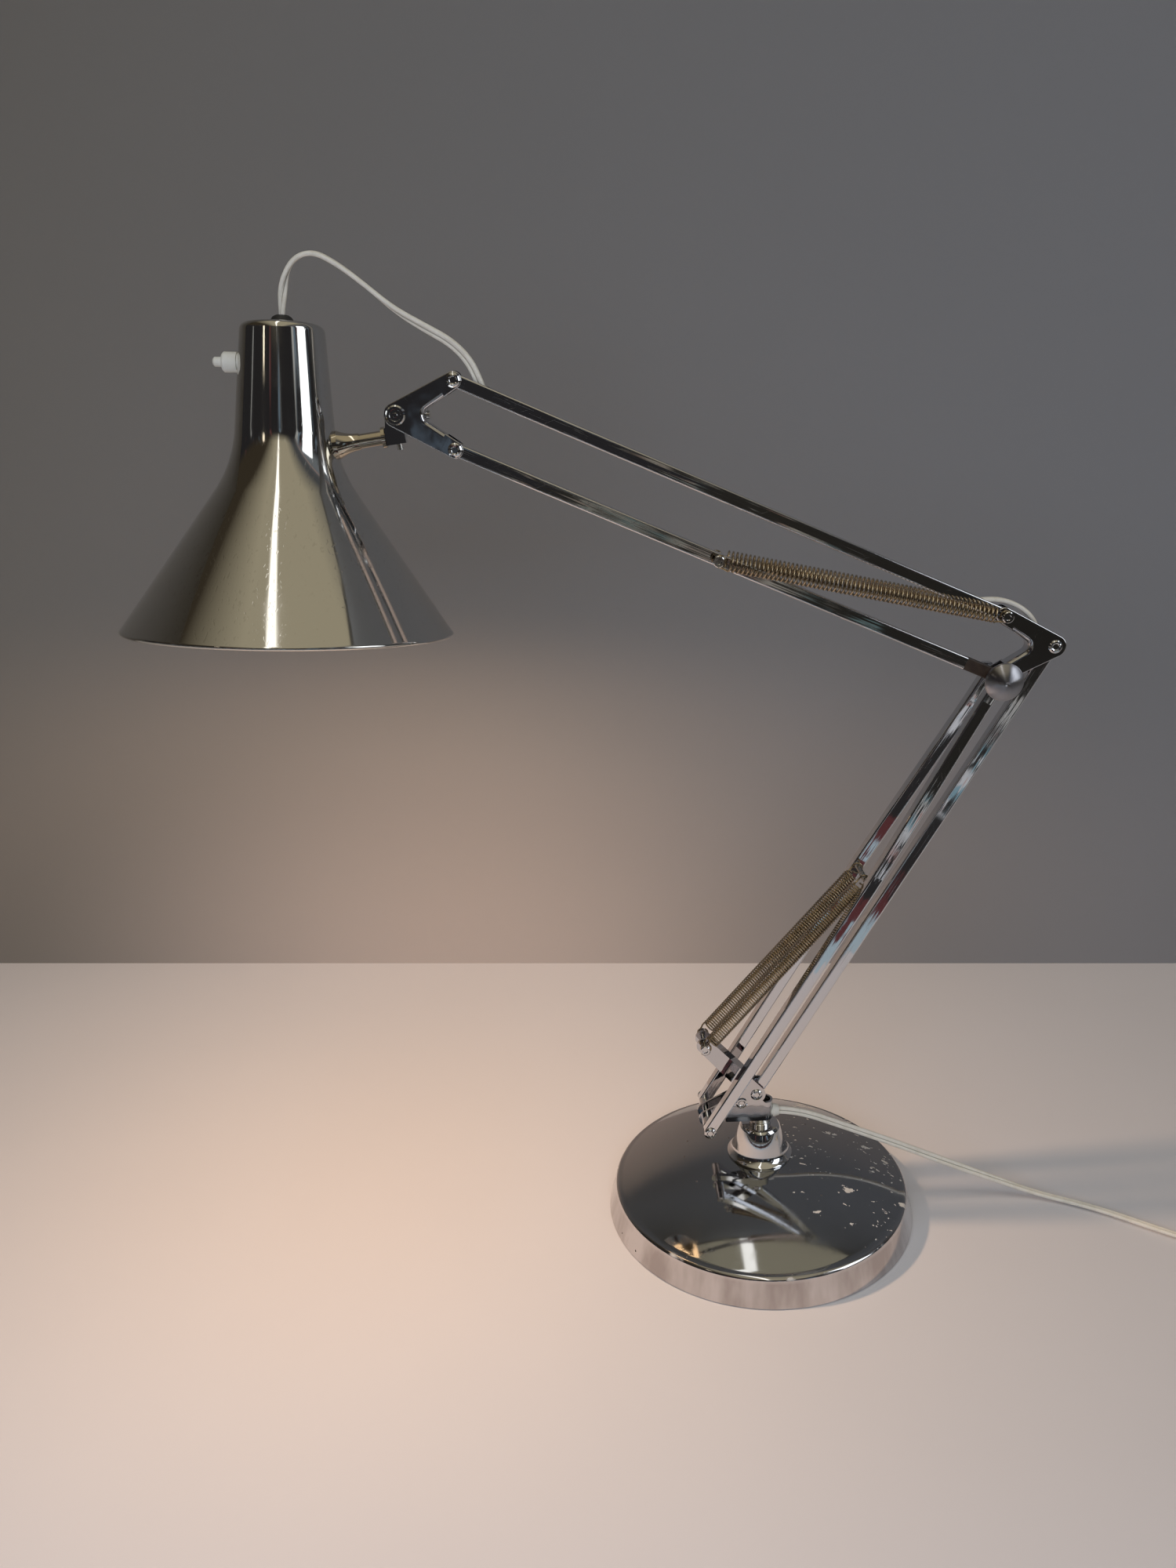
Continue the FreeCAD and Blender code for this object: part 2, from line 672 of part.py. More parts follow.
def link_bracket(end_a, vertex, end_b, holes):
    def outline(y0, y1, shift):
        v = vertex + shift
        legs = [hull(end + shift, leg_end_radius, v, vertex_radius, y0, y1) for end in (end_a, end_b)]
        body = legs[0].fuse(legs[1]).removeSplitter()
        notch = [e for e in body.Edges if is_notch(e, shift)]
        return body.makeFillet(notch_radius, notch)

    inward = ((end_a + end_b) * 0.5 - vertex).normalize()

    def is_notch(e, shift):
        upright = len(e.Vertexes) == 2 and abs(abs(e.Vertexes[0].Point.y - e.Vertexes[1].Point.y) - e.Length) < 1e-6
        if not upright:
            return False
        p = e.Vertexes[0].Point - vertex - shift
        p.y = 0
        return p.dot(inward) > vertex_radius and p.cross(inward).Length < 1.0

    def fold_tool():
        # What the large bend radius takes off the edge between a cheek and the web round the notch
        lateral = (end_a - end_b).normalize()
        bend = vertex + inward * ((vertex_radius + notch_radius) / math.sin(notch_slant))
        runs = []
        for s in (1.0, -1.0):
            along = inward * math.cos(notch_slant) + lateral * (s * math.sin(notch_slant))
            across = inward * math.sin(notch_slant) - lateral * (s * math.cos(notch_slant))
            last = vertex + across * vertex_radius + along * (link_pitch - web_clear_radius)
            runs.append((last, bend - across * notch_radius, across))
        (first, turn_a, across), (last, turn_b, _) = runs
        path = Part.Wire(
            [
                Part.LineSegment(first, turn_a).toShape(),
                Part.Arc(turn_a, bend - inward * notch_radius, turn_b).toShape(),
                Part.LineSegment(turn_b, last).toShape(),
            ]
        )
        r = fold_radius
        corners = [(-r, 0.0), (-r, 1.0), (1.0, 1.0), (1.0, -r), (0.0, -r)]
        ring = [first + across * n + yy * (plate_out + y) for n, y in corners]
        middle = first + across * (-0.31 * r) + yy * (plate_out - 0.31 * r)
        edges = [Part.LineSegment(a, b).toShape() for a, b in zip(ring, ring[1:])]
        edges.append(Part.Arc(ring[-1], middle, ring[0]).toShape())
        return path.makePipeShell([Part.Wire(edges)], True, False)

    body = outline(-plate_out, plate_out, Vector(0, 0, 0))
    body = round_edges(body, fold_round, lambda e: on_side(e, plate_out))
    tool = fold_tool()
    body = body.cut([tool, tool.mirror(Vector(0, 0, 0), yy)])
    space = outline(-plate_in, plate_in, inward * (-2.0 * sheet))
    for end in (end_a, end_b):
        space = space.fuse(cyl(end, web_clear_radius, -plate_in, plate_in))
    side = inward * (-3.0 * vertex_radius)
    outside = prism(
        [end_a, vertex, end_b, end_b + side, vertex + side, end_a + side], -plate_in, plate_in
    )
    body = body.cut(space.fuse(outside))
    for centre, radius in holes:
        body = body.cut(cyl(centre, radius, -40, 40))
    return body


elbow = link_bracket(
    e1,
    e2,
    e3,
    [(e1, elbow_bolt_radius + fixed_fit), (e2, rivet_radius + fixed_fit), (e3, spring_pin_radius + fixed_fit)],
)
save("elbow_bracket", one(elbow))
save("elbow_rivet", rivet(e2, rivet_radius, plate_out, rivet_head_radius, rivet_head_height))
save("elbow_spring_pin", spring_pin(e3, upper_pin_reach))
bar_out = elbow_spread + half
knob_back = bar_out + side_gap
bolt_far = bar_out + side_gap + nut_height + 0.8
bolt_near = knob_back + knob_hub + knob_rim
save("elbow_bolt", cyl(e1, elbow_bolt_radius, -bolt_near, bolt_far))
nut = hexagon(nut_radius, nut_height, Vector(e1.x, bar_out + side_gap, e1.z), yy)
save("elbow_nut", nut.cut(cyl(e1, elbow_bolt_radius + fixed_fit, -40, 40)))

# Clamp knob: hub, thick rim with a round edge, one smooth dome with a dimple in the middle
front = knob_back + knob_hub + knob_rim
edge_round = knob_rim * 0.35
knob_line = [
    Vector(elbow_bolt_radius + run_fit, 0, knob_back),
    Vector(knob_hub_radius, 0, knob_back),
    Vector(knob_hub_radius + 1.0, 0, knob_back + knob_hub),
    Vector(knob_radius - edge_round, 0, knob_back + knob_hub),
]
ball_centre = Vector(0, 0, front + knob_dome - knob_ball)


def dome_point(radius):
    return ball_centre + Vector(radius, 0, math.sqrt(knob_ball * knob_ball - radius * radius))


edge_x = knob_radius - knob_edge
edge_centre = ball_centre + Vector(edge_x, 0, math.sqrt((knob_ball - knob_edge) ** 2 - edge_x * edge_x))
outward = (edge_centre - ball_centre).normalize()
edge_mid = edge_centre + (outward + Vector(1, 0, 0)).normalize() * knob_edge
knob_side = [Vector(knob_radius, 0, knob_back + knob_hub + edge_round), edge_centre + Vector(knob_edge, 0, 0)]
knob_face = edge_centre + outward * knob_edge
dimple_edge = dome_point(knob_dimple_radius)
tip = [Vector(0, 0, dimple_edge.z - knob_dimple), Vector(0, 0, front + 0.4)]
tip += [Vector(elbow_bolt_radius + run_fit, 0, front + 0.4), knob_line[0]]
bow = dome_point(knob_face.x * 0.55)
round_low = Vector(knob_radius - edge_round * 0.29, 0, knob_back + knob_hub + edge_round * 0.29)
knob_edges = [Part.LineSegment(a, b).toShape() for a, b in zip(knob_line, knob_line[1:])]
knob_edges.append(Part.Arc(knob_line[-1], round_low, knob_side[0]).toShape())
knob_edges.append(Part.LineSegment(knob_side[0], knob_side[1]).toShape())
knob_edges.append(Part.Arc(knob_side[1], edge_mid, knob_face).toShape())
knob_edges.append(Part.Arc(knob_face, bow, dimple_edge).toShape())
knob_edges += [Part.LineSegment(a, b).toShape() for a, b in zip([dimple_edge] + tip, tip)]
knob = Part.Face(Part.Wire(knob_edges)).revolve(Vector(0, 0, 0), zz, 360)
knob.Placement = Placement(e1, Rotation(zz, -yy))
save("elbow_knob", one(knob))

head = link_bracket(
    h2,
    h1,
    h3,
    [(h1, tilt_screw_radius + run_fit), (h2, rivet_radius + fixed_fit), (h3, rivet_radius + fixed_fit)],
)
notch_axis = ((h2 + h3) * 0.5 - h1).normalize()
notch_tip = vertex_radius / math.sin(notch_slant)
notch_floor = notch_tip + notch_radius / math.sin(notch_slant) - notch_radius
clamp_seat = h1 + notch_axis * notch_floor
head = head.cut(rod(clamp_seat - notch_axis * 12.0, clamp_seat + notch_axis * 2.0, clamp_radius + fixed_fit))
save("head_bracket", one(head))
clamp_lift = notch_radius - math.sqrt(notch_radius ** 2 - clamp_head_radius ** 2) + 0.1
clamp_shank = rod(clamp_seat - notch_axis * 6.5, clamp_seat + notch_axis * (clamp_lift + 0.2), clamp_radius)
clamp_head = rod(
    clamp_seat + notch_axis * clamp_lift, clamp_seat + notch_axis * (clamp_lift + clamp_head_height), clamp_head_radius
)
save("head_clamp_screw", one(clamp_shank.fuse(clamp_head)))
save(
    "head_rivets",
    rivet(h2, rivet_radius, plate_out, rivet_head_radius, rivet_head_height),
    rivet(h3, rivet_radius, plate_out, rivet_head_radius, rivet_head_height),
)

# Knuckle between the head bracket's cheeks, carrying the stem's spigot
stem_dir = polar(Vector(0, 0, 0), 1.0, stem_slope + 180)
stem_up = polar(Vector(0, 0, 0), 1.0, stem_slope + 90)
stem_root = h1 + at(stem_drop_x, stem_drop_z)
tongue_end = stem_root - stem_dir * knuckle_length
knuckle_y = plate_in - side_gap
tongue = prism(
    [
        stem_root - stem_up * knuckle_half,
        tongue_end - stem_up * knuckle_half,
        tongue_end + stem_up * knuckle_half,
        h1,
        stem_root + stem_up * knuckle_half,
    ],
    -knuckle_y,
    knuckle_y,
)
eye_web = hull(h1, knuckle_eye, stem_root - stem_dir * (knuckle_length * 0.4), knuckle_half, -knuckle_y, knuckle_y)
knuckle = tongue.fuse(eye_web)
knuckle = knuckle.cut(cyl(h1, tilt_screw_radius + fixed_fit, -40, 40))
knuckle = knuckle.cut(rod(stem_root + stem_dir, stem_root - stem_dir * (spigot_length + 0.4), spigot_radius + run_fit))
stop_root = stem_root - stem_dir * (knuckle_length * 0.6)
stop_top = stop_root - stem_up * (spigot_radius - groove_depth + 0.15)
stop_low = stop_root - stem_up * (knuckle_half + stop_length)
knuckle = knuckle.cut(rod(stop_top, stop_low, stop_radius + fixed_fit))
save("head_knuckle", one(knuckle))
save("knuckle_stop_screw", rod(stop_top, stop_low, stop_radius))
disc_y = plate_out + seat_gap
disc_top = disc_y + tilt_disc_height
h = tilt_disc_height
r = tilt_disc_radius
disc = [(0, h), (r * 0.2, h), (r * 0.24, h - 0.5), (r * 0.56, h - 0.5), (r * 0.6, h), (r - 0.8, h), (r, h - 0.8), (r, 0)]
screw_profile = [(x, -disc_y - y) for x, y in disc] + [(tilt_screw_radius, -disc_y), (tilt_screw_radius, disc_y)]
screw_profile += [(x, disc_y + y) for x, y in disc[::-1]]
save("tilt_screw", turned(screw_profile, h1, yy))

# Stem: spigot, collar and rod, then the flared ferrule that seats on the shade
junction = stem_root + stem_dir * stem_length
shade_turn = Rotation(Vector(1, 0, 0), -shade_roll).multiply(Rotation(yy, shade_tilt))
shade_up = shade_turn.multVec(zz)
rim_centre = junction - shade_up * junction_height
shade_place = Placement(rim_centre, shade_turn)


def line_at(slope, radius, height):
    # Radius of a straight flank at a height, from a known radius and height
    return lambda h: radius - math.tan(math.radians(slope)) * (h - height)


def flank(inset):
    # Outer flank of the shade moved in by a wall: cone, tangent waist, neck, rounded shoulder, flat top
    c = math.cos(math.radians(cone_slope))
    n = math.cos(math.radians(neck_slope))
    cone = line_at(cone_slope, rim_radius - inset / c, 0.0)
    neck = line_at(neck_slope, top_radius - inset / n, shade_height)
    tc = math.tan(math.radians(cone_slope))
    tn = math.tan(math.radians(neck_slope))
    meet = (cone(0.0) - neck(0.0)) / (tc - tn)
    reach = (waist_radius + inset) * math.tan(math.radians(cone_slope - neck_slope) / 2.0)
    corner = Vector(cone(meet), 0, meet)
    on_cone = Vector(cone(meet - reach * c), 0, meet - reach * c)
    on_neck = Vector(neck(meet + reach * n), 0, meet + reach * n)
    inner = (on_cone + on_neck) * 0.5 - corner
    depth = (waist_radius + inset) * (1.0 / math.cos(math.radians(cone_slope - neck_slope) / 2.0) - 1.0)
    waist = corner + inner.normalize() * depth
    r = top_round - inset
    height = shade_height - inset
    turn = Vector(neck(height - r), 0, height - r)
    flat = Vector(neck(height - r) - r, 0, height)
    curve = turn + Vector(-r * 0.29, 0, r * 0.71)
    edges = [
        Part.LineSegment(Vector(cone(0.0), 0, 0), on_cone).toShape(),
        Part.Arc(on_cone, waist, on_neck).toShape(),
        Part.LineSegment(on_neck, turn).toShape(),
        Part.Arc(turn, curve, flat).toShape(),
        Part.LineSegment(flat, Vector(nipple_radius + fixed_fit, 0, height)).toShape(),
    ]
    return edges, Vector(cone(0.0), 0, 0), Vector(nipple_radius + fixed_fit, 0, height), neck


outer, outer_foot, outer_hole, neck_out = flank(0.0)
inner, inner_foot, inner_hole, neck_in = flank(shade_wall)
skin = outer + inner
skin.append(Part.LineSegment(inner_foot, outer_foot).toShape())
skin.append(Part.LineSegment(outer_hole, inner_hole).toShape())
shade = Part.Face(Part.Wire(Part.__sortEdges__(skin))).revolve(Vector(0, 0, 0), zz, 360)
shade = shade.fuse(Part.makeTorus(rim_radius - shade_wall * 0.5, lip_radius, Vector(0, 0, lip_radius * 0.6), zz))
switch_axis = Vector(-1, 0, 0)
switch_hole = switch_bush_radius + fixed_fit
shade = shade.cut(Part.makeCylinder(switch_hole, rim_radius, Vector(0, 0, switch_height), switch_axis))
shade.Placement = shade_place
stem_bolt = rod(junction + stem_dir * -5.0, stem_root, stem_radius + fixed_fit)
shade = one(shade).cut(stem_bolt)
save("shade", one(shade))

# Ferrule: flared collar trimmed to the shade's outer face
outer_skin = outer + [Part.LineSegment(outer_foot, Vector(0, 0, 0)).toShape()]
outer_skin.append(Part.LineSegment(Vector(0, 0, 0), Vector(0, 0, shade_height)).toShape())
outer_skin.append(Part.LineSegment(Vector(0, 0, shade_height), outer_hole).toShape())
filled = Part.Face(Part.Wire(Part.__sortEdges__(outer_skin))).revolve(Vector(0, 0, 0), zz, 360)
filled.Placement = shade_place
neck_here = neck_out(junction_height)
ferrule_root = junction - stem_dir * (neck_here + 2.0 + ferrule_length)
flare = [
    Vector(stem_radius + fixed_fit, 0, 0),
    Vector(ferrule_small, 0, 0),
    Vector(ferrule_radius, 0, ferrule_length),
    Vector(ferrule_radius, 0, ferrule_length + 6.0),
    Vector(stem_radius + fixed_fit, 0, ferrule_length + 6.0),
]
flare_edges = [
    Part.LineSegment(flare[0], flare[1]).toShape(),
    Part.Arc(flare[1], (flare[1] + flare[2]) * 0.5 + Vector(-0.7, 0, 0.4), flare[2]).toShape(),
]
flare_edges += [Part.LineSegment(a, b).toShape() for a, b in zip(flare[2:], flare[3:] + flare[:1])]
ferrule = Part.Face(Part.Wire(flare_edges)).revolve(Vector(0, 0, 0), zz, 360)
ferrule.Placement = Placement(ferrule_root, Rotation(zz, stem_dir))
ferrule = ferrule.cut(filled)
save("stem_ferrule", max(ferrule.Solids, key=lambda s: s.Volume))

inner_skin = inner + [Part.LineSegment(inner_foot, Vector(0, 0, 0)).toShape()]
inner_skin.append(Part.LineSegment(Vector(0, 0, 0), Vector(0, 0, shade_height - shade_wall)).toShape())
inner_skin.append(Part.LineSegment(Vector(0, 0, shade_height - shade_wall), inner_hole).toShape())
hollow = Part.Face(Part.Wire(Part.__sortEdges__(inner_skin))).revolve(Vector(0, 0, 0), zz, 360)
hollow.Placement = shade_place
stem_end = junction - stem_dir * (neck_here - shade_wall - 2.2)
stem = rod(stem_root, stem_end, stem_radius)
stem = stem.fuse(rod(stem_root + stem_dir * seat_gap, stem_root + stem_dir * (seat_gap + collar_length), collar_radius))
stem = stem.cut(rod(stem_root - stem_dir, stem_root + stem_dir * seat_gap, stem_radius + 1.0))
stem = stem.fuse(rod(stem_root - stem_dir * spigot_length, stem_root + stem_dir, spigot_radius))
groove = rod(stop_root + stem_dir * (stop_radius + 0.6), stop_root - stem_dir * (stop_radius + 0.6), spigot_radius + 1.0)
groove = groove.cut(rod(stop_root + stem_dir * 5.0, stop_root - stem_dir * 5.0, spigot_radius - groove_depth))
stem = stem.cut(groove)
save("shade_stem", one(stem))


# Inside the shade: holder, nipple, nut, bulb, switch, grommet
def in_shade(shape):
    shape.Placement = shade_place.multiply(shape.Placement)
    return shape


body_top = holder_mouth + holder_body
dome_top = body_top + holder_dome
nut_low = shade_height - shade_wall - nut_thickness
holder_profile = [(thread_radius, holder_mouth), (holder_radius, holder_mouth), (holder_radius, body_top)]
holder_profile += [(holder_radius - 3.0, body_top + holder_dome * 0.6), (holder_neck_radius, dome_top)]
holder_profile += [(holder_neck_radius, nut_low - 4.0), (nipple_radius + fixed_fit, nut_low - 4.0)]
holder_profile += [(nipple_radius + fixed_fit, dome_top), (0, dome_top), (0, holder_mouth + thread_depth)]
holder_profile.append((thread_radius, holder_mouth + thread_depth))
save("lampholder", in_shade(turned(holder_profile, Vector(0, 0, 0), zz)))
nipple_top = shade_height + 1.6
nipple_profile = [(nipple_bore, dome_top + 0.3), (nipple_radius, dome_top + 0.3), (nipple_radius, nipple_top)]
nipple_profile.append((nipple_bore, nipple_top))
save("holder_nipple", in_shade(turned(nipple_profile, Vector(0, 0, 0), zz)))
holder_nut = hexagon(nut_out_radius, nut_thickness, Vector(0, 0, nut_low), zz)
holder_nut = holder_nut.cut(Part.makeCylinder(nipple_radius + fixed_fit, 40, Vector(0, 0, nut_low - 10)))
save("holder_nut", in_shade(holder_nut))

bore = cord_diameter / 2.0 + fixed_fit
gr = grommet_radius
grommet_top = nipple_top + grommet_height
grommet_profile = [(nipple_radius + fixed_fit, shade_height), (gr + 1.4, shade_height), (gr + 1.4, shade_height + 1.4)]
grommet_profile += [(gr, grommet_top - 1.0), (gr - 1.6, grommet_top), (bore, grommet_top), (bore, nipple_top + 0.05)]
grommet_profile.append((nipple_radius + fixed_fit, nipple_top + 0.05))
save("shade_grommet", in_shade(turned(grommet_profile, Vector(0, 0, 0), zz)))

cap_top_h = holder_mouth + thread_depth - 0.4
cap_profile = [(0, cap_top_h), (4.5, cap_top_h), (cap_radius - 2.0, cap_top_h - 3.0), (cap_radius, cap_top_h - 5.0)]
cap_profile += [(cap_radius, cap_top_h - cap_length), (0, cap_top_h - cap_length)]
save("bulb_cap", in_shade(turned(cap_profile, Vector(0, 0, 0), zz)))
glass_top = cap_top_h - cap_length
ball = Vector(0, 0, glass_top - glass_length + glass_radius)
neck_low = glass_top - 8.0
spread_angle = math.radians(38.0)
touch = ball + Vector(glass_radius * math.cos(spread_angle), 0, glass_radius * math.sin(spread_angle))
neck_point = Vector(glass_neck_radius, 0, neck_low)
bend = (touch + neck_point) * 0.5 + Vector(-1.2, 0, -0.6)
bottom = ball - Vector(0, 0, glass_radius)
neck_end = Vector(glass_neck_radius - 2.5, 0, glass_top)
inner_end = Vector(neck_end.x - glass_wall, 0, glass_top)
inner_neck = neck_point - Vector(glass_wall, 0, 0)
inner_radius = glass_radius - glass_wall
inner_touch = ball + (touch - ball) * (inner_radius / glass_radius)
inner_bend = (inner_touch + inner_neck) * 0.5 + Vector(-1.2, 0, -0.6)
inner_bottom = ball - Vector(0, 0, inner_radius)
low_side = Vector(math.cos(0.4), 0, -math.sin(0.4))
glass_edges = [
    Part.LineSegment(inner_end, neck_end).toShape(),
    Part.LineSegment(neck_end, neck_point).toShape(),
    Part.Arc(neck_point, bend, touch).toShape(),
    Part.Arc(touch, ball + low_side * glass_radius, bottom).toShape(),
    Part.LineSegment(bottom, inner_bottom).toShape(),
    Part.Arc(inner_bottom, ball + low_side * inner_radius, inner_touch).toShape(),
    Part.Arc(inner_touch, inner_bend, inner_neck).toShape(),
    Part.LineSegment(inner_neck, inner_end).toShape(),
]
save("bulb_glass", in_shade(Part.Face(Part.Wire(glass_edges)).revolve(Vector(0, 0, 0), zz, 360)))

neck_r = neck_out(switch_height)
seat_r = neck_r + math.tan(math.radians(neck_slope)) * collar_nut_radius + 0.1
bush_in = neck_r - shade_wall - switch_inside
bush_out = seat_r + collar_nut_length
bush_profile = [(button_radius + run_fit, bush_in + 2.0), (button_radius + run_fit, bush_out - 1.0)]
bush_profile += [(switch_bush_radius, bush_out - 1.0), (switch_bush_radius, bush_in), (0, bush_in), (0, bush_in + 2.0)]
side_place = Placement(Vector(0, 0, switch_height), Rotation(zz, switch_axis))


def on_side_of_neck(shape):
    shape.Placement = shade_place.multiply(side_place).multiply(shape.Placement)
    return shape


save("switch_body", on_side_of_neck(turned(bush_profile, Vector(0, 0, 0), zz)))
ring_profile = [(switch_bush_radius + fixed_fit, seat_r), (collar_nut_radius, seat_r), (collar_nut_radius, bush_out - 1.0)]
ring_profile += [(collar_nut_radius - 1.0, bush_out), (button_radius + 1.0, bush_out)]
ring_profile += [(button_radius + 1.0, bush_out - 0.95), (switch_bush_radius + fixed_fit, bush_out - 0.95)]
save("switch_collar", on_side_of_neck(turned(ring_profile, Vector(0, 0, 0), zz)))
button_in = bush_in + 2.0 + button_travel + 0.5
button_out = bush_out + button_length
button_profile = [(0, button_in), (button_radius, button_in), (button_radius, button_out - 1.0)]
button_profile += [(button_radius - 1.0, button_out), (0, button_out)]
save("switch_button", on_side_of_neck(turned(button_profile, Vector(0, 0, 0), zz)))


# Wound and free wire forms
def smooth_wire(nodes):
    # Nodes are (point, direction); successive nodes are joined by biarcs
    edges = []
    for (p0, t0), (p1, t1) in zip(nodes, nodes[1:]):
        if (p1 - p0).cross(t0).Length < 1e-6 and (p1 - p0).cross(t1).Length < 1e-6:
            edges.append(Part.LineSegment(p0, p1).toShape())
            continue
        edges += biarc(p0, t0, p1, t1)
    return Part.Wire(edges)


def biarc(p0, t0, p1, t1):
    # Two arcs that meet smoothly and leave and arrive along the given directions
    v = p1 - p0
    a = 2.0 * (1.0 - t0.dot(t1))
    b = v.dot(t0 + t1)
    c = v.dot(v)
    d = c / (2.0 * b) if abs(a) < 1e-9 else (-b + math.sqrt(b * b + a * c)) / a
    m = (p0 + p1 + (t0 - t1) * d) * 0.5
    return [one_arc(p0, t0, m, False), one_arc(p1, t1 * -1.0, m, True)]


def one_arc(p, tangent, q, turned_round):
    chord = q - p
    unit = chord * (1.0 / chord.Length)
    sine = tangent.cross(unit).Length
    start, end = (q, p) if turned_round else (p, q)
    if sine < 1e-7:
        return Part.LineSegment(start, end).toShape()
    side = (tangent - unit * tangent.dot(unit)).normalize()
    angle = math.atan2(sine, tangent.dot(unit))
    middle = (p + q) * 0.5 + side * (chord.Length * 0.5 * math.tan(angle * 0.5))
    return Part.Arc(start, middle, end).toShape()


def pipe(wire, radius, sides):
    # Tube along a wire: round, or with the given number of flat sides
    start = wire.Edges[0].valueAt(wire.Edges[0].FirstParameter)
    ahead = wire.Edges[0].tangentAt(wire.Edges[0].FirstParameter)
    if sides:
        ring = [Vector(radius * math.cos(2 * math.pi * k / sides), radius * math.sin(2 * math.pi * k / sides), 0)
                for k in range(sides + 1)]
        profile = Part.makePolygon(ring)
    else:
        profile = Part.Wire([Part.Circle(Vector(0, 0, 0), zz, radius).toShape()])
    profile.Placement = Placement(start, Rotation(zz, ahead))
    shell = Part.BRepOffsetAPI.MakePipeShell(wire)
    shell.add(profile)
    shell.build()
    shell.makeSolid()
    return shell.shape().Solids[0]


def self_gap(wire, diameter):
    # Least distance between parts of the wire more than a few diameters apart along it
    points = wire.discretize(Number=max(60, int(wire.Length / (diameter * 0.5))))
    step = wire.Length / (len(points) - 1)
    skip = int(diameter * 4.0 / step) + 1
    grid = {}
    least = 1e9
    for i, p in enumerate(points):
        key = (int(p.x // 12), int(p.y // 12), int(p.z // 12))
        for dx in (-1, 0, 1):
            for dy in (-1, 0, 1):
                for dz in (-1, 0, 1):
                    for j in grid.get((key[0] + dx, key[1] + dy, key[2] + dz), ()):
                        if i - j > skip:
                            least = min(least, (p - points[j]).Length)
        grid.setdefault(key, []).append(i)
    return least - diameter


def spring(name, start, end, y, coil_radius, wire_diameter, turns):
    # Tension spring with a full eye round each pin; pins stand at start and end, axis at y
    a = Vector(start.x, y, start.z)
    b = Vector(end.x, y, end.z)
    along = (b - a).normalize()
    across = along.cross(yy).normalize()
    slack = eye_radius - wire_diameter / 2.0 - spring_pin_radius - run_fit
    lead_length = slack + eye_radius + 2.6

    def eye(pin, ahead):
        centre = pin + ahead * slack
        ring = []
        for k in range(7):
            w = math.radians(-45.0 * k)
            p = centre + ahead * (eye_radius * math.cos(w)) + across * (eye_radius * math.sin(w))
            ring.append((p, ahead * math.sin(w) - across * math.cos(w)))
        return ring

    body_start = a + along * lead_length
    body_end = b - along * lead_length
    pitch = (body_end - body_start).Length / turns

    def helix(k):
        w = 2.0 * math.pi * k / 4.0
        p = body_start + along * (pitch * k / 4.0)
        p = p + across * (coil_radius * math.cos(w)) + yy * (coil_radius * math.sin(w))
        t = along * (pitch / (2.0 * math.pi)) + across * (-coil_radius * math.sin(w)) + yy * (coil_radius * math.cos(w))
        return p, t.normalize()

    coil = [helix(k) for k in range(4 * turns + 1)]
    tail = [(p, t * -1.0) for p, t in eye(b, along * -1.0)][::-1]
    nodes = eye(a, along) + coil + tail
    first = nodes[0]
    nodes.insert(0, (first[0] - first[1] * wire_diameter, first[1]))
    last = nodes[-1]
    nodes.append((last[0] + last[1] * wire_diameter, last[1]))
    wire = smooth_wire(nodes)
    body = pipe(wire, wire_diameter / 2.0, 6)
    print(name, "gap %.2f" % self_gap(wire, wire_diameter), "length %.0f" % wire.Length)
    save(name, body)


for side, y in (("near", -1.0), ("far", 1.0)):
    spring("lower_spring_" + side, s1, cross_pin, y * lower_spring_y, lower_coil_radius, lower_wire, lower_turns)
    spring("upper_spring_" + side, e3, clip_pin, y * upper_spring_y, upper_coil_radius, upper_wire, upper_turns)


def cord_path(points):
    # Straight runs joined by the largest tangent arcs that the runs allow
    radii = []
    for a, p, b in zip(points, points[1:], points[2:]):
        turn = (p - a).getAngle(b - p)
        radii.append(0.45 * min((a - p).Length, (b - p).Length) / math.tan(turn / 2.0))
    return Part.Wire(tangent_runs(points, radii)), radii


def cord(name, points, diameter):
    wire, radii = cord_path(points)
    body = pipe(wire, diameter / 2.0, 0)
    share = body.Volume / (math.pi * diameter * diameter / 4.0 * wire.Length)
    print(name, "length %.1f" % wire.Length, "volume share %.4f" % share, "radii", [round(r) for r in radii])
    save(name, body)


grommet_exit = shade_place.multVec(Vector(0, 0, grommet_top))
head_points = [
    grommet_exit - shade_up * 4.7,
    grommet_exit + shade_up * 12.0,
    h1 + Vector(-53.1, 8.4, 82.0),
    h1 + Vector(-40.8, 7.6, 87.0),
    h1 + Vector(-27.8, 6.2, 80.5),
    h1 + Vector(-12.3, 4.6, 68.5),
    h1 + Vector(3.2, 3.0, 55.0),
    h1 + Vector(18.7, 1.8, 45.5),
    h1 + Vector(32.7, 0.9, 37.5),
    h1 + Vector(42.0, 0.2, 28.0),
    h1 + Vector(46.8, 0.0, 17.5),
    h1 + Vector(48.6, 0.0, 11.6),
]
cord("head_cord", head_points, cord_diameter)
elbow_points = [
    e1 + Vector(-19.0, 0, 46.0),
    e1 + Vector(-10.0, 0, 46.4),
    e1 + Vector(-1.0, 0, 46.3),
    e1 + Vector(8.0, 0, 43.6),
    e1 + Vector(15.5, 0, 38.9),
    e1 + Vector(20.8, 0, 33.0),
    e1 + Vector(23.4, 0, 25.5),
    e1 + Vector(24.0, 0, 17.0),
    e1 + Vector(26.0, 0, 7.7),
]
cord("elbow_cord", elbow_points, cord_diameter)


def inner_cord(origin, angle, x0, x1):
    w = inner_cord_width / 2.0
    t = inner_cord_thickness / 2.0
    return place(beam(Vector(x0, 0, 0), Vector(x1, 0, 0), -t, t, -w, w), origin, angle)


save("cord_in_upper_bar", inner_cord(h2, upper_angle + 180, 24.0, upper_length - 32.0))
save("cord_in_rear_bar", inner_cord(q2, lower_angle, 8.0, lower_length - 22.0))

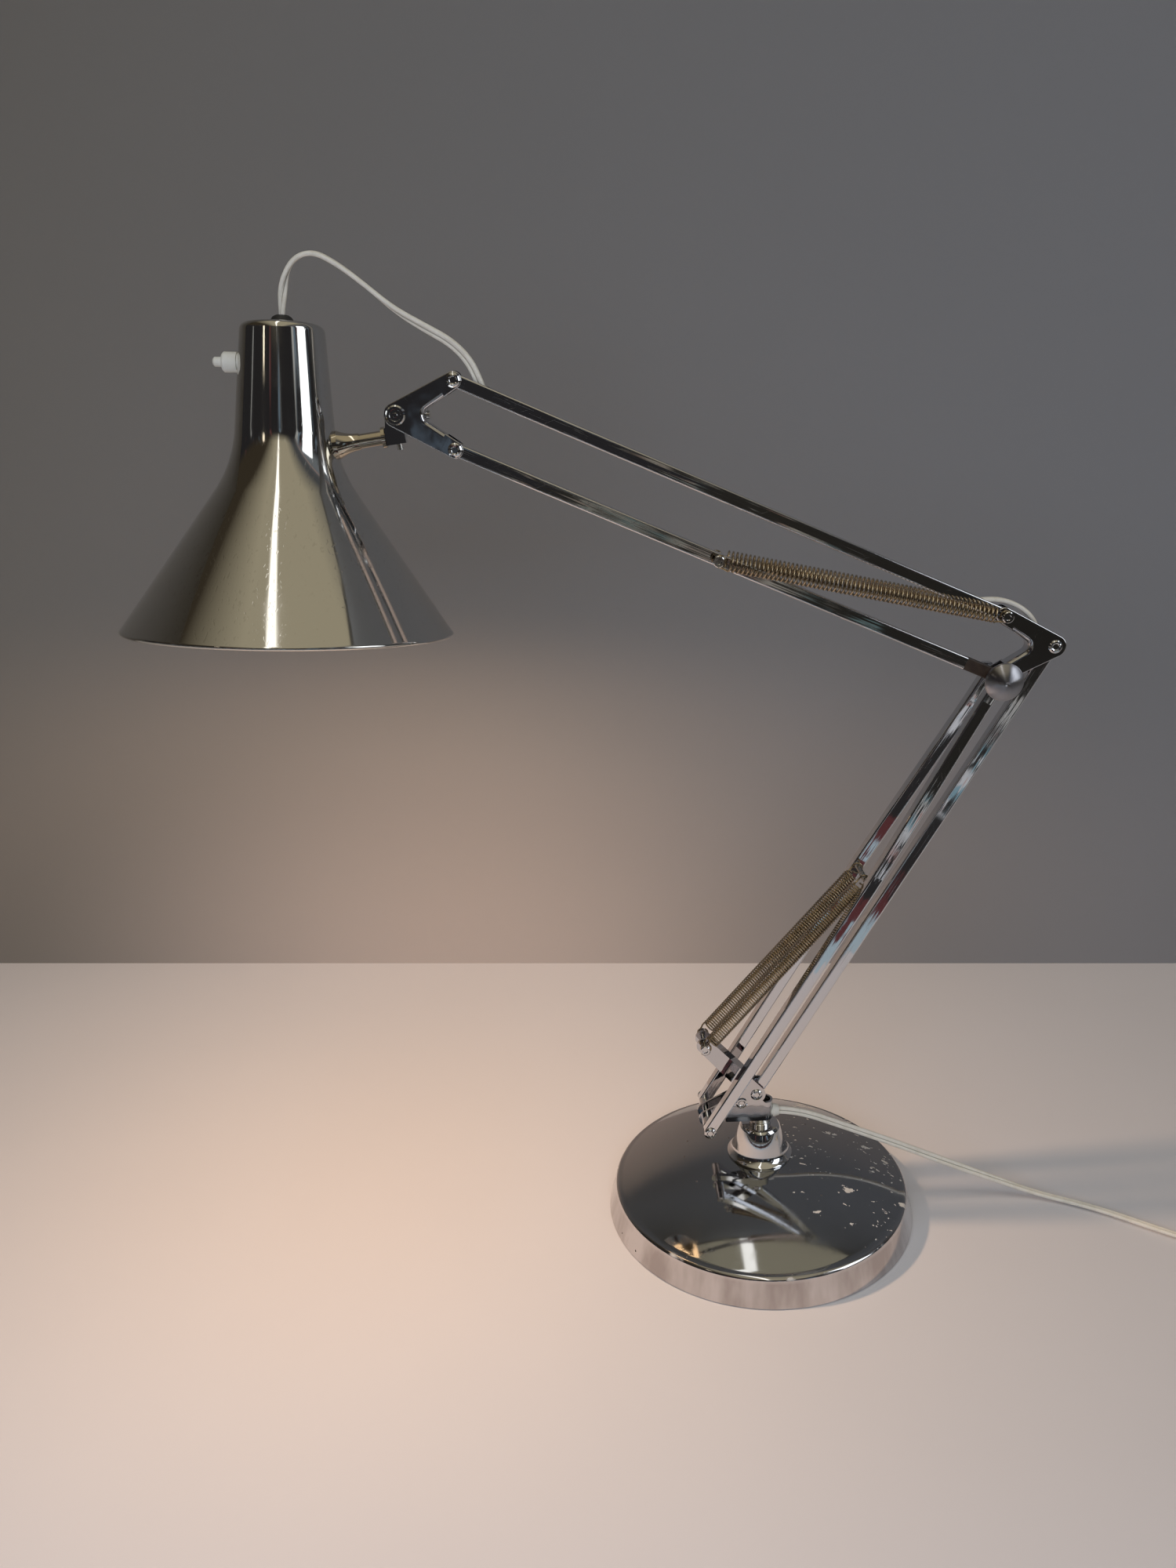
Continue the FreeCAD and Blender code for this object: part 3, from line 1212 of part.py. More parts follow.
# Mains lead: free stretch, coil of two layers, tie, plug
floor_z = mains_diameter / 2.0
coil_z = floor_z + tie_sheet + seat_gap
arrive = Vector(base_radius + 200.0, -78.5, coil_z)
mains_points = [
    Vector(rear_face - sheet, 0, gland_z),
    Vector(rear_face + gland_length + 11.0, 0, gland_z),
    Vector(base_radius - 47.0, 0.4, 60.0),
    Vector(base_radius - 9.0, 0.0, 43.6),
    Vector(base_radius + 27.0, -0.8, 27.2),
    Vector(base_radius + 63.0, -2.0, 11.8),
    Vector(base_radius + 91.0, -7.5, 2.8),
    Vector(base_radius + 123.0, -22.5, floor_z),
    Vector(base_radius + 157.0, -47.5, floor_z),
    Vector(base_radius + 180.0, -63.3, floor_z),
    arrive,
]
cord("mains_cord", mains_points, mains_diameter)

heading = arrive - mains_points[-2]
heading.z = 0
heading = heading.normalize()
to_centre = Vector(-heading.y, heading.x, 0)
coil_centre = arrive + to_centre * coil_outer + heading * mains_diameter

def coil_at(turns):
    # Spiral in on the floor, climb one layer in the half turn where it reverses, spiral out above
    inward = min(turns, coil_loops)
    outward = max(0.0, turns - coil_loops - 0.5)
    rise = min(max((turns - coil_loops) / 0.5, 0.0), 1.0)
    radius = coil_outer - coil_step * inward + coil_step * outward
    w = 2.0 * math.pi * turns
    p = coil_centre - to_centre * (radius * math.cos(w)) + heading * (radius * math.sin(w))
    p.z = coil_z + coil_climb * rise * rise * (3.0 - 2.0 * rise)
    return p


coil_turns = 2 * coil_loops
coil_nodes = []
for k in range(int(4 * coil_turns) + 1):
    w = k / 4.0
    d = coil_at(min(w + 0.002, coil_turns)) - coil_at(max(w - 0.002, 0.0))
    coil_nodes.append((coil_at(w), d.normalize()))
coil_nodes[0] = (coil_nodes[0][0], heading)
coil_nodes.insert(0, (arrive, heading))
last_point, last_dir = coil_nodes[-1]
last_dir.z = 0
last_dir = last_dir.normalize()
coil_nodes[-1] = (last_point, last_dir)
relief_start = last_point + last_dir * tail_length
coil_nodes.append((relief_start, last_dir))
coil_wire = smooth_wire(coil_nodes)
print("cord_coil gap %.2f" % self_gap(coil_wire, mains_diameter), "length %.0f" % coil_wire.Length)
save("cord_coil", pipe(coil_wire, mains_diameter / 2.0, 6))

# Tie: closed band round all the turns where the layers lie one above the other
inner_turn = coil_outer - coil_step * coil_loops - floor_z - seat_gap
outer_turn = coil_outer - coil_step * 0.25 + floor_z + seat_gap
tie_top = coil_z + coil_climb + floor_z + seat_gap
reach = outer_turn - inner_turn
tie = Part.makeBox(reach + 2 * tie_sheet, tie_width, tie_top + tie_sheet, Vector(-tie_sheet, -tie_width / 2.0, 0.0))
tie = tie.cut(Part.makeBox(reach, 2 * tie_width, tie_top - tie_sheet, Vector(0, -tie_width, tie_sheet)))
tie_foot = coil_centre + heading * inner_turn
tie.Placement = Placement(Vector(tie_foot.x, tie_foot.y, 0), Rotation(Vector(1, 0, 0), heading))
save("coil_tie", tie)

relief_profile = [(0, 0), (mains_diameter / 2.0 + 0.8, 0), (mains_diameter / 2.0 + 2.4, plug_relief)]
relief_profile.append((0, plug_relief))
relief = turned(relief_profile, relief_start, last_dir)
plug_place = Placement(relief_start + last_dir * plug_relief, Rotation(Vector(1, 0, 0), last_dir))
w = plug_width / 2.0
plug_line = [Vector(-0.5, -5.0, 0), Vector(8.0, -w, 0), Vector(plug_length, -w, 0)]
plug_line += [Vector(plug_length, w, 0), Vector(8.0, w, 0), Vector(-0.5, 5.0, 0)]
plug_body = Part.Face(Part.makePolygon(plug_line + plug_line[:1])).extrude(Vector(0, 0, plug_height))
plug_body.translate(Vector(0, 0, -plug_height / 2.0))
plug_body = plug_body.makeFillet(2.0, [e for e in plug_body.Edges if abs(e.tangentAt(e.FirstParameter).z) < 0.5])
plug_body.Placement = plug_place
for s in (-0.5, 0.5):
    foot = plug_place.multVec(Vector(plug_length - plug_root, s * plug_pin_pitch, 0))
    plug_body = plug_body.cut(rod(foot, foot + last_dir * (plug_root + 4.0), plug_root_radius + fixed_fit))
save("plug_body", one(plug_body.fuse(relief)))
pins = []
pin_middles = []
for s in (-0.5, 0.5):
    root = plug_place.multVec(Vector(plug_length - plug_root, s * plug_pin_pitch, 0))
    foot = root + last_dir * (plug_root + fixed_fit)
    tip = foot + last_dir * plug_pin_length
    pins.append(one(rod(root, tip, plug_root_radius).fuse(rod(foot, tip, plug_pin_radius))))
    pin_middles.append((foot + tip) * 0.5)
save("plug_pins", *pins)
print("plug tips", pin_middles, last_dir)
print("pivots", [(round(p.x, 2), round(p.z, 2)) for p in (q1, q2, s1, cross_pin, e1, e2, e3, h1, h2, h3, clip_pin)])
print("stem", stem_root, stem_dir, "shade", rim_centre, shade_up)
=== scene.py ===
import math
from functools import partialmethod

import bmesh
import bpy
from mathutils import Matrix, Quaternion, Vector


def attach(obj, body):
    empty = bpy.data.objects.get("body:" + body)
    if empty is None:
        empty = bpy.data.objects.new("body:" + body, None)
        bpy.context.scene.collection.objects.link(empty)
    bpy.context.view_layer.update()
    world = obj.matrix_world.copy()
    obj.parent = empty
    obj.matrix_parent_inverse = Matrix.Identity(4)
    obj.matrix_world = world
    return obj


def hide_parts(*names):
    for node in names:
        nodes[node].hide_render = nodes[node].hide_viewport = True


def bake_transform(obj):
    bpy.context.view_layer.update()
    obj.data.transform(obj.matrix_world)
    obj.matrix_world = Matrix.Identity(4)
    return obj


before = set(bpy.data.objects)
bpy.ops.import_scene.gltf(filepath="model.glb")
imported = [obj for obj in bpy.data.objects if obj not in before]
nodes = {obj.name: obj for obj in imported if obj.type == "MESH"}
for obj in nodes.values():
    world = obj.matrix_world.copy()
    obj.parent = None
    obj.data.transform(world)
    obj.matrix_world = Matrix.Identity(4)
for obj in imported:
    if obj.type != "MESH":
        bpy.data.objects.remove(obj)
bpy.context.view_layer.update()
mm = 0.001
print("frame loaded:", len(nodes), "nodes")


# small mesh tools
def linkMesh(name, mesh):
    piece = bpy.data.objects.new(name, mesh)
    bpy.context.collection.objects.link(piece)
    return piece


def meshOf(bm, name):
    mesh = bpy.data.meshes.new(name)
    bm.to_mesh(mesh)
    bm.free()
    return mesh


def evaluatedMesh(carrier):
    # plain mesh of a curve, or of a piece with its modifiers
    bpy.context.view_layer.update()
    return bpy.data.meshes.new_from_object(carrier.evaluated_get(bpy.context.evaluated_depsgraph_get()))


def chromeSkin(piece, body, node):
    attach(piece, body)
    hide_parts(node)
    return piece


def turned(angle, axis):
    return Matrix.Rotation(math.radians(angle), 4, axis)


def ease(t):
    return t * t * (3 - 2 * t)


def polar(origin, length, angle):
    a = math.radians(angle)
    return origin + Vector((length * math.cos(a), 0, length * math.sin(a)))


def arc(cx, cz, r, a0, a1, steps):
    # points of a circular stretch of a turned outline, angles in degrees
    angles = [math.radians(a0 + (a1 - a0) * k / steps) for k in range(steps + 1)]
    return [(cx + r * math.cos(a), cz + r * math.sin(a)) for a in angles]


def bulge(p, q, sag, steps):
    # outline from p to q bowed sideways by sag
    dx, dz = q[0] - p[0], q[1] - p[1]
    size = math.hypot(dx, dz)
    nx, nz = -dz / size, dx / size
    points = []
    for k in range(steps + 1):
        t = k / steps
        bow = sag * 4 * t * (1 - t)
        points.append((p[0] + dx * t + nx * bow, p[1] + dz * t + nz * bow))
    return points


def turnedMesh(name, outline, place, segments, sharp):
    # closed outline of (radius, height) in metres; uv runs round and along the outline
    bm = bmesh.new()
    uvLayer = bm.loops.layers.uv.new("turned")
    rings = []
    for r, z in outline:
        angles = [2 * math.pi * k / segments for k in range(segments if r > 0 else 1)]
        rings.append([bm.verts.new((r * math.cos(a), r * math.sin(a), z)) for a in angles])
    runs = [0.0]
    for p, q in zip(outline, outline[1:] + outline[:1]):
        runs.append(runs[-1] + math.hypot(q[0] - p[0], q[1] - p[1]))
    for lower, upper, v0, v1 in zip(rings, rings[1:] + rings[:1], runs, runs[1:]):
        if len(lower) == len(upper) == 1:
            continue
        for k in range(segments):
            n = (k + 1) % segments
            u0, u1 = k / segments, (k + 1) / segments
            if len(lower) == 1:
                corners = [(lower[0], u0, v0), (upper[n], u1, v1), (upper[k], u0, v1)]
            elif len(upper) == 1:
                corners = [(lower[k], u0, v0), (lower[n], u1, v0), (upper[0], u0, v1)]
            else:
                corners = [(lower[k], u0, v0), (lower[n], u1, v0), (upper[n], u1, v1), (upper[k], u0, v1)]
            face = bm.faces.new([c[0] for c in corners])
            face.smooth = True
            for loop, c in zip(face.loops, corners):
                loop[uvLayer].uv = c[1:]
    bmesh.ops.recalc_face_normals(bm, faces=bm.faces)
    bm.transform(place)
    mesh = meshOf(bm, name)
    mesh.set_sharp_from_angle(angle=math.radians(sharp))
    return mesh


def twistAt(share, twists):
    for (s0, d0), (s1, d1) in zip(twists, twists[1:]):
        if s0 <= share <= s1:
            return d0 + (d1 - d0) * ease((share - s0) / (s1 - s0))
    return twists[-1][1]


def sweepMesh(name, points, section, side, twists=((0, 0),), caps=True, sharp=60):
    # section holds (across, up) in metres, side is the across direction at the start,
    # twists are (share of the length, degrees); uv runs along in metres and round from 0 to 1
    points = [Vector(p) for p in points]
    around = zip(points[:1] + points, points[1:] + points[-1:])
    tangents = [(after - before).normalized() for before, after in around]
    lengths = [0.0]
    for a, b in zip(points, points[1:]):
        lengths.append(lengths[-1] + (b - a).length)
    across = Vector(side)
    across = (across - tangents[0] * across.dot(tangents[0])).normalized()
    bm = bmesh.new()
    uvLayer = bm.loops.layers.uv.new("along")
    rings = []
    for k, p in enumerate(points):
        if k:
            across = tangents[k - 1].rotation_difference(tangents[k]) @ across
            across = (across - tangents[k] * across.dot(tangents[k])).normalized()
        turn = twistAt(lengths[k] / lengths[-1], twists)
        x = Quaternion(tangents[k], math.radians(turn)) @ across
        y = tangents[k].cross(x)
        rings.append([bm.verts.new(p + x * a + y * b) for a, b in section])
    count = len(section)
    for k in range(len(rings) - 1):
        for i in range(count):
            n = (i + 1) % count
            face = bm.faces.new((rings[k][i], rings[k][n], rings[k + 1][n], rings[k + 1][i]))
            face.smooth = True
            uvs = [(lengths[k], i), (lengths[k], i + 1), (lengths[k + 1], i + 1), (lengths[k + 1], i)]
            for loop, uv in zip(face.loops, uvs):
                loop[uvLayer].uv = (uv[0], uv[1] / count)
    if caps:
        bm.faces.new(rings[0][::-1])
        bm.faces.new(rings[-1])
    bmesh.ops.recalc_face_normals(bm, faces=bm.faces)
    mesh = meshOf(bm, name)
    mesh.set_sharp_from_angle(angle=math.radians(sharp))
    return mesh


def roundSection(radius, count):
    angles = [2 * math.pi * k / count for k in range(count)]
    return [(radius * math.cos(a), radius * math.sin(a)) for a in angles]


def splinePoints(route, perSpan):
    # points read from the route's own NURBS spline
    curve = bpy.data.curves.new("route", "CURVE")
    curve.dimensions = "3D"
    curve.resolution_u = perSpan
    spline = curve.splines.new("NURBS")
    spline.points.add(len(route) - 1)
    for point, place in zip(spline.points, route):
        point.co = (*place, 1)
    spline.order_u = 3
    spline.use_endpoint_u = True
    carrier = bpy.data.objects.new("route", curve)
    bpy.context.collection.objects.link(carrier)
    line = evaluatedMesh(carrier)
    points = [v.co.copy() for v in line.vertices]
    bpy.data.objects.remove(carrier)
    bpy.data.curves.remove(curve)
    bpy.data.meshes.remove(line)
    return points


# camera, at the photograph's viewing angle (frame 1500 x 2000)
cameraSetup = {
    "place": (-0.1096, -0.7143, 0.5633),
    "pitchDown": 19.06,
    "roll": -2.15,
    "lens": 27.9,  # millimetres on a 36 mm tall frame
}


def makeCamera(spec):
    data = bpy.data.cameras.new("photoCamera")
    data.sensor_fit = "VERTICAL"
    data.sensor_height = 36
    data.lens = spec["lens"]
    camera = bpy.data.objects.new("photoCamera", data)
    bpy.context.collection.objects.link(camera)
    turn = turned(90 - spec["pitchDown"], "X") @ turned(spec["roll"], "Z")
    camera.matrix_world = Matrix.Translation(spec["place"]) @ turn
    bpy.context.scene.camera = camera


makeCamera(cameraSetup)

# arm pivots, worked out as the frame has them
armSizes = {
    "frontPivot": (-0.0365, 0.0737),
    "linkPitch": 0.0375,
    "linkAngle": 27.8,
    "vertexAngle": 60,
    "lowerLength": 0.350,
    "lowerAngle": 59.9,
    "upperLength": 0.3475,
    "upperAngle": 155.6,
}
q1 = Vector((armSizes["frontPivot"][0], 0, armSizes["frontPivot"][1]))
e1 = polar(q1, armSizes["lowerLength"], armSizes["lowerAngle"])
e3 = polar(e1, armSizes["linkPitch"], armSizes["linkAngle"] + armSizes["vertexAngle"])
h3 = polar(e1, armSizes["upperLength"], armSizes["upperAngle"])
h1 = polar(h3, armSizes["linkPitch"], armSizes["linkAngle"] + 2 * armSizes["vertexAngle"])

# twin flex: one section for all stretches
flex = {
    "core": 1.35 * mm,
    "apart": 1.28 * mm,
    "groove": 14,  # degrees left open between the cores
    "steps": 9,
    "perSpan": 7,
    "loopPerSpan": 10,
}


def flexSection(spec):
    # two round cores side by side with a groove above and below
    r, d, steps = spec["core"], spec["apart"], spec["steps"]
    gap = math.degrees(math.acos(d / r)) + spec["groove"]
    right = [(x + d, z) for x, z in arc(0, 0, r, -180 + gap, 180 - gap, steps)]
    return right + [(-x, -z) for x, z in right]


mainsRoute = [
    (0.00695, 0.0, 0.0750),
    (0.02365, 0.0, 0.0750),
    (0.0580, 0.0004, 0.0600),
    (0.0960, 0.0, 0.0436),
    (0.1320, -0.0008, 0.0272),
    (0.1680, -0.0020, 0.0118),
    (0.1960, -0.0075, 0.0028),
    (0.2280, -0.0225, 0.0022),
    (0.2620, -0.0475, 0.0022),
    (0.2850, -0.0633, 0.0022),
    (0.3050, -0.0785, 0.0031),
]
mainsCoil = {
    "outer": 0.0375,
    "step": 0.0056,
    "climb": 0.0054,
    "climbTurns": 0.5,
    "loops": 4,
    "perTurn": 16,
    "lead": 0.0044,
    "tail": 0.016,
    "height": 0.0031,
    "lean": 62,  # the flex leaves the gland on edge and lies flat on the table
}


def coilPoints(spec, route):
    # spiral in on the table, climb one layer in a half turn, spiral out on top
    arrive = Vector(route[-1])
    heading = arrive - Vector(route[-2])
    heading.z = 0
    heading.normalize()
    inward = Vector((-heading.y, heading.x, 0))
    centre = arrive + inward * spec["outer"] + heading * spec["lead"]
    points = []
    for k in range(1, 2 * spec["loops"] * spec["perTurn"] + 1):
        turn = k / spec["perTurn"]
        back = max(0.0, turn - spec["loops"] - spec["climbTurns"])
        rise = min(max((turn - spec["loops"]) / spec["climbTurns"], 0.0), 1.0)
        r = spec["outer"] - spec["step"] * min(turn, spec["loops"]) + spec["step"] * back
        a = 2 * math.pi * turn
        p = centre - inward * (r * math.cos(a)) + heading * (r * math.sin(a))
        p.z = spec["height"] + spec["climb"] * ease(rise)
        points.append(p)
    leave = (points[-1] - points[-2]).normalized()
    for k in range(2):
        points.append(points[-1] + leave * spec["tail"] * 0.5)
    return points


# loops of the flex, in millimetres from the shade pivot and from the elbow pivot
headSteps = [
    (-53.1, 8.4, 82.0),
    (-40.8, 7.6, 87.0),
    (-27.8, 6.2, 80.5),
    (-12.3, 4.6, 68.5),
    (3.2, 3.0, 55.0),
    (18.7, 1.8, 45.5),
    (32.7, 0.9, 37.5),
    (42.0, 0.2, 28.0),
    (46.8, 0.0, 17.5),
    (48.6, 0.0, 11.6),
]
elbowSteps = [
    (-19.0, 0, 46.0),
    (-10.0, 0, 46.4),
    (-1.0, 0, 46.3),
    (8.0, 0, 43.6),
    (15.5, 0, 38.9),
    (20.8, 0, 33.0),
    (23.4, 0, 25.5),
    (24.0, 0, 17.0),
    (26.0, 0, 7.7),
]
headRoute = [(-0.26944, 0.00769, 0.5899), (-0.26842, 0.00955, 0.6065)]  # up out of the grommet
headRoute += [h1 + Vector(step) * mm for step in headSteps]
elbowRoute = [e1 + Vector(step) * mm for step in elbowSteps]


def pathLength(points):
    return sum((b - a).length for a, b in zip(points, points[1:]))


def makeMains():
    route = mainsRoute + coilPoints(mainsCoil, mainsRoute)
    points = splinePoints(route, flex["perSpan"])
    lean = mainsCoil["lean"]
    twists = ((0.0, 0), (0.07, 0), (0.13, -lean), (1.0, -lean))
    side = (0, math.cos(math.radians(lean)), math.sin(math.radians(lean)))
    piece = linkMesh("mainsCord", sweepMesh("mainsCord", points, flexSection(flex), side, twists))
    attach(piece, "swivel")
    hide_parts("mains_cord", "cord_coil")
    return piece


def splitLine(points, shares):
    # places along a line where its stretches begin and end
    total, run = pathLength(points), 0.0
    cuts, wanted = [0], list(shares)
    for k in range(1, len(points)):
        run += (points[k] - points[k - 1]).length
        if wanted and run >= wanted[0] * total:
            cuts.append(k)
            wanted.pop(0)
    return cuts + [len(points) - 1]


loops = {
    "headCord": {
        "route": headRoute,
        "side": (1, 0, 0),
        "twists": ((0.0, -60), (0.02, -60), (0.20, 95), (0.50, 80), (0.80, 10), (1.0, 0)),
        "shares": (0.40, 0.80),
        "bodies": (("shade_unit", "knuckle"), ("knuckle", "head"), ("head", "upper_link")),
        "node": "head_cord",
    },
    "elbowCord": {
        "route": elbowRoute,
        "side": (0, 1, 0),
        "twists": ((0.0, 0), (1.0, 0)),
        "shares": (0.5,),
        "bodies": (("upper_link", "elbow"), ("elbow", "rear_link")),
        "node": "elbow_cord",
    },
}


def makeLoop(name, spec):
    # one flex loop cut into stretches, one for each pair of neighbouring bodies
    points = splinePoints(spec["route"], flex["loopPerSpan"])
    section = flexSection(flex)
    whole = sweepMesh(name, points, section, spec["side"], spec["twists"], caps=False)
    ring = len(section)
    cuts = splitLine(points, spec["shares"])
    pieces = []
    for k, (bodyA, bodyB) in enumerate(spec["bodies"]):
        first, last = cuts[k], cuts[k + 1]
        bm = bmesh.new()
        bm.from_mesh(whole)
        bm.verts.ensure_lookup_table()
        out = [v for v in bm.verts if not first * ring <= v.index < (last + 1) * ring]
        bmesh.ops.delete(bm, geom=out, context="VERTS")
        label = name + str(k + 1)
        piece = linkMesh(label, meshOf(bm, label))
        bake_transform(piece)
        pieces.append(piece)
    bpy.data.meshes.remove(whole)
    for piece in pieces:
        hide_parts(spec["node"])
    print(name, "loop: %.3f m" % pathLength(points))
    return pieces


mainsCord = makeMains()
headCords, elbowCords = [makeLoop(name, spec) for name, spec in loops.items()]
print("cords made")

# shade: cone, waist, neck and closed top, with a rolled lip
shadeSizes = {
    "tilt": 3.5,
    "roll": 6.4,
    "rimRadius": 93.5 * mm,
    "coneSlope": 34.05,
    "height": 170 * mm,
    "topRadius": 23 * mm,
    "neckSlope": 4.75,
    "waist": 70 * mm,
    "topRound": 4 * mm,
    "wall": 0.9 * mm,
    "lip": 1.3 * mm,
    "lipTurn": (210, 420),
    "lipRise": 0.6,  # shares of the lip's radius: its middle, and where the outer and inner flanks begin
    "flankRise": (1.6, 1.2),
    "steps": 24,
    "hole": 5.05 * mm,
    "junction": 101 * mm,
    "stemDrop": (-6.9 * mm, -11.8 * mm),
    "stemSlope": 6.8,
    "stemLength": 58 * mm,
}


def shadePlace(spec):
    root = h1 + Vector((spec["stemDrop"][0], 0, spec["stemDrop"][1]))
    joint = polar(root, spec["stemLength"], spec["stemSlope"] + 180)
    turn = turned(-spec["roll"], "X") @ turned(spec["tilt"], "Y")
    up = turn @ Vector((0, 0, 1))
    return Matrix.Translation(joint - up * spec["junction"]) @ turn


def flankOutline(spec, inset):
    # cone, tangent waist, neck and rounded top edge, from the rim upwards
    cone, neck = math.radians(spec["coneSlope"]), math.radians(spec["neckSlope"])
    coneFoot = spec["rimRadius"] - inset / math.cos(cone)
    neckTop = spec["topRadius"] - inset / math.cos(neck)
    neckFoot = neckTop + math.tan(neck) * spec["height"]
    meet = (coneFoot - neckFoot) / (math.tan(cone) - math.tan(neck))
    r = spec["waist"] + inset
    reach = r * math.tan((cone - neck) / 2)
    foot = (coneFoot - math.tan(cone) * (meet - reach * math.cos(cone)), meet - reach * math.cos(cone))
    cx, cz = foot[0] + r * math.cos(cone), foot[1] + r * math.sin(cone)
    waist = arc(cx, cz, r, 180 + spec["coneSlope"], 180 + spec["neckSlope"], spec["steps"])
    top = spec["height"] - inset
    e = spec["topRound"] - inset
    edge = (neckTop + math.tan(neck) * e, top - e)
    return [(coneFoot, 0.0), foot] + waist[1:] + arc(edge[0] - e, edge[1], e, 0, 90, 8)


shadeFrame = shadePlace(shadeSizes)


def makeShade(spec):
    outer, inner = flankOutline(spec, 0.0), flankOutline(spec, spec["wall"])
    lip = spec["lip"]
    foot = outer[0][0] - spec["wall"] * 0.5
    outline = arc(foot, lip * spec["lipRise"], lip, *spec["lipTurn"], 16)
    outline += [p for p in outer if p[1] > lip * spec["flankRise"][0]]
    outline += [(spec["hole"], spec["height"]), (spec["hole"], spec["height"] - spec["wall"])]
    outline += [p for p in inner[::-1] if p[1] > lip * spec["flankRise"][1]]
    mesh = turnedMesh("shadeSkin", outline, shadeFrame, segments=224, sharp=50)
    return chromeSkin(linkMesh("shadeSkin", mesh), "shade_unit", "shade")


shadeSkin = makeShade(shadeSizes)
print("shade made")

# base cover: skirt, rounded shoulder, dome and flat seat
coverSizes = {
    "foot": 105 * mm,
    "footHeight": 0.4 * mm,
    "footEdge": 0.3 * mm,
    "shoulder": 100.7 * mm,
    "shoulderHeight": 20.3 * mm,
    "shoulderRound": 3 * mm,
    "seat": 23 * mm,
    "seatHeight": 42 * mm,
    "crown": 0.045,  # bow of the dome as a share of its chord
    "wall": 1.2 * mm,
    "hole": 5.05 * mm,
}


def makeCover(spec):
    r, wall, hole = spec["shoulderRound"], spec["wall"], spec["hole"]
    foot, footHeight, edge = spec["foot"], spec["footHeight"], spec["footEdge"]
    top = spec["shoulderHeight"]
    low = (spec["shoulder"] - r, top)
    seat = (spec["seat"], spec["seatHeight"])
    chord = math.hypot(seat[0] - low[0], seat[1] - low[1])
    dome = bulge(low, seat, -spec["crown"] * chord, 26)
    outline = [(foot - edge, footHeight), (foot, footHeight + edge)]
    outline += arc(low[0], top - r, r, 0, 90, 10) + dome[1:]
    outline += [(hole, seat[1]), (hole, seat[1] - wall)]
    outline += [(p[0], p[1] - wall) for p in dome[::-1]]
    outline += [(spec["shoulder"] - wall, top - r), (foot - wall, footHeight)]
    mesh = turnedMesh("coverSkin", outline, Matrix.Identity(4), segments=224, sharp=40)
    return chromeSkin(linkMesh("coverSkin", mesh), "base", "base_cover")


coverSkin = makeCover(coverSizes)
print("base cover made")

# bell socket: thin lip, flare, steep side, bevelled shoulder and small cap
bellSizes = {
    "seat": 42 * mm,
    "lip": (22 * mm, 1.2 * mm),
    "lipEdge": 0.5 * mm,
    "flare": (17.9 * mm, 48.6 * mm),
    "flareBow": 0.62 * mm,
    "side": (17.05 * mm, 52.6 * mm),
    "shoulder": (13.6 * mm, 64.2 * mm),
    "sideBow": -0.24 * mm,
    "collar": (12.4 * mm, 65.5 * mm),
    "cap": (7.4 * mm, 67.9 * mm),
    "bore": (4.25 * mm, 13.5 * mm),
    "bolt": (5.03 * mm, 10.5 * mm),
    "grub": (2.03 * mm, 61.4 * mm, 30 * mm),  # radius, height, reach
}


def bored(piece, radius, place, turn, length, sharp):
    # cuts a round hole with its start at place
    bm = bmesh.new()
    bmesh.ops.create_cone(bm, segments=32, radius1=radius, radius2=radius, depth=length, cap_ends=True)
    bm.transform(Matrix.Translation(place) @ turn @ Matrix.Translation((0, 0, length / 2)))
    cutter = linkMesh("cutter", meshOf(bm, "cutter"))
    modifier = piece.modifiers.new("hole", "BOOLEAN")
    modifier.operation, modifier.solver, modifier.object = "DIFFERENCE", "EXACT", cutter
    plain = evaluatedMesh(piece)
    piece.modifiers.clear()
    piece.data = plain
    bpy.data.objects.remove(cutter)
    plain.set_sharp_from_angle(angle=math.radians(sharp))


def makeBell(spec):
    seat, edge = spec["seat"], spec["lipEdge"]
    lip, lipTop = spec["lip"][0], seat + spec["lip"][1]
    cap, capTop = spec["cap"]
    bore, depth = spec["bore"]
    bolt, reach = spec["bolt"]
    grub, height, length = spec["grub"]
    outline = [(bolt, seat), (lip, seat), (lip, lipTop)]
    outline += bulge((lip - edge, lipTop + edge), spec["flare"], spec["flareBow"], 14)
    outline += bulge(spec["side"], spec["shoulder"], spec["sideBow"], 14)
    outline += [spec["collar"], (cap, spec["collar"][1]), (cap, capTop - edge), (cap - edge, capTop)]
    outline += [(bore, capTop), (bore, capTop - depth), (0, capTop - depth), (0, seat + reach), (bolt, seat + reach)]
    piece = linkMesh("bellSkin", turnedMesh("bellSkin", outline, Matrix.Identity(4), segments=128, sharp=30))
    bored(piece, grub, (0, 0, height), turned(-90, "X"), length, sharp=30)
    return chromeSkin(piece, "base", "socket_bell")


bellSkin = makeBell(bellSizes)
print("bell made")

# clamp knob: hub, round edge and one domed face with a dimple
knobSizes = {
    "back": 13.95 * mm,  # from the arm's middle plane
    "bore": 2.55 * mm,
    "boreEnd": 20.95 * mm,
    "hub": 6 * mm,
    "hubLength": 1.6 * mm,
    "hubEdge": 1 * mm,
    "radius": 11.5 * mm,
    "backEdge": 1.75 * mm,
    "edge": 2.5 * mm,
    "ball": 15.5 * mm,
    "top": 23.75 * mm,
    "dimple": (1.3 * mm, 0.5 * mm),
    "dimpleStep": (0.6, 0.7),  # shares of the dimple's radius and depth
}


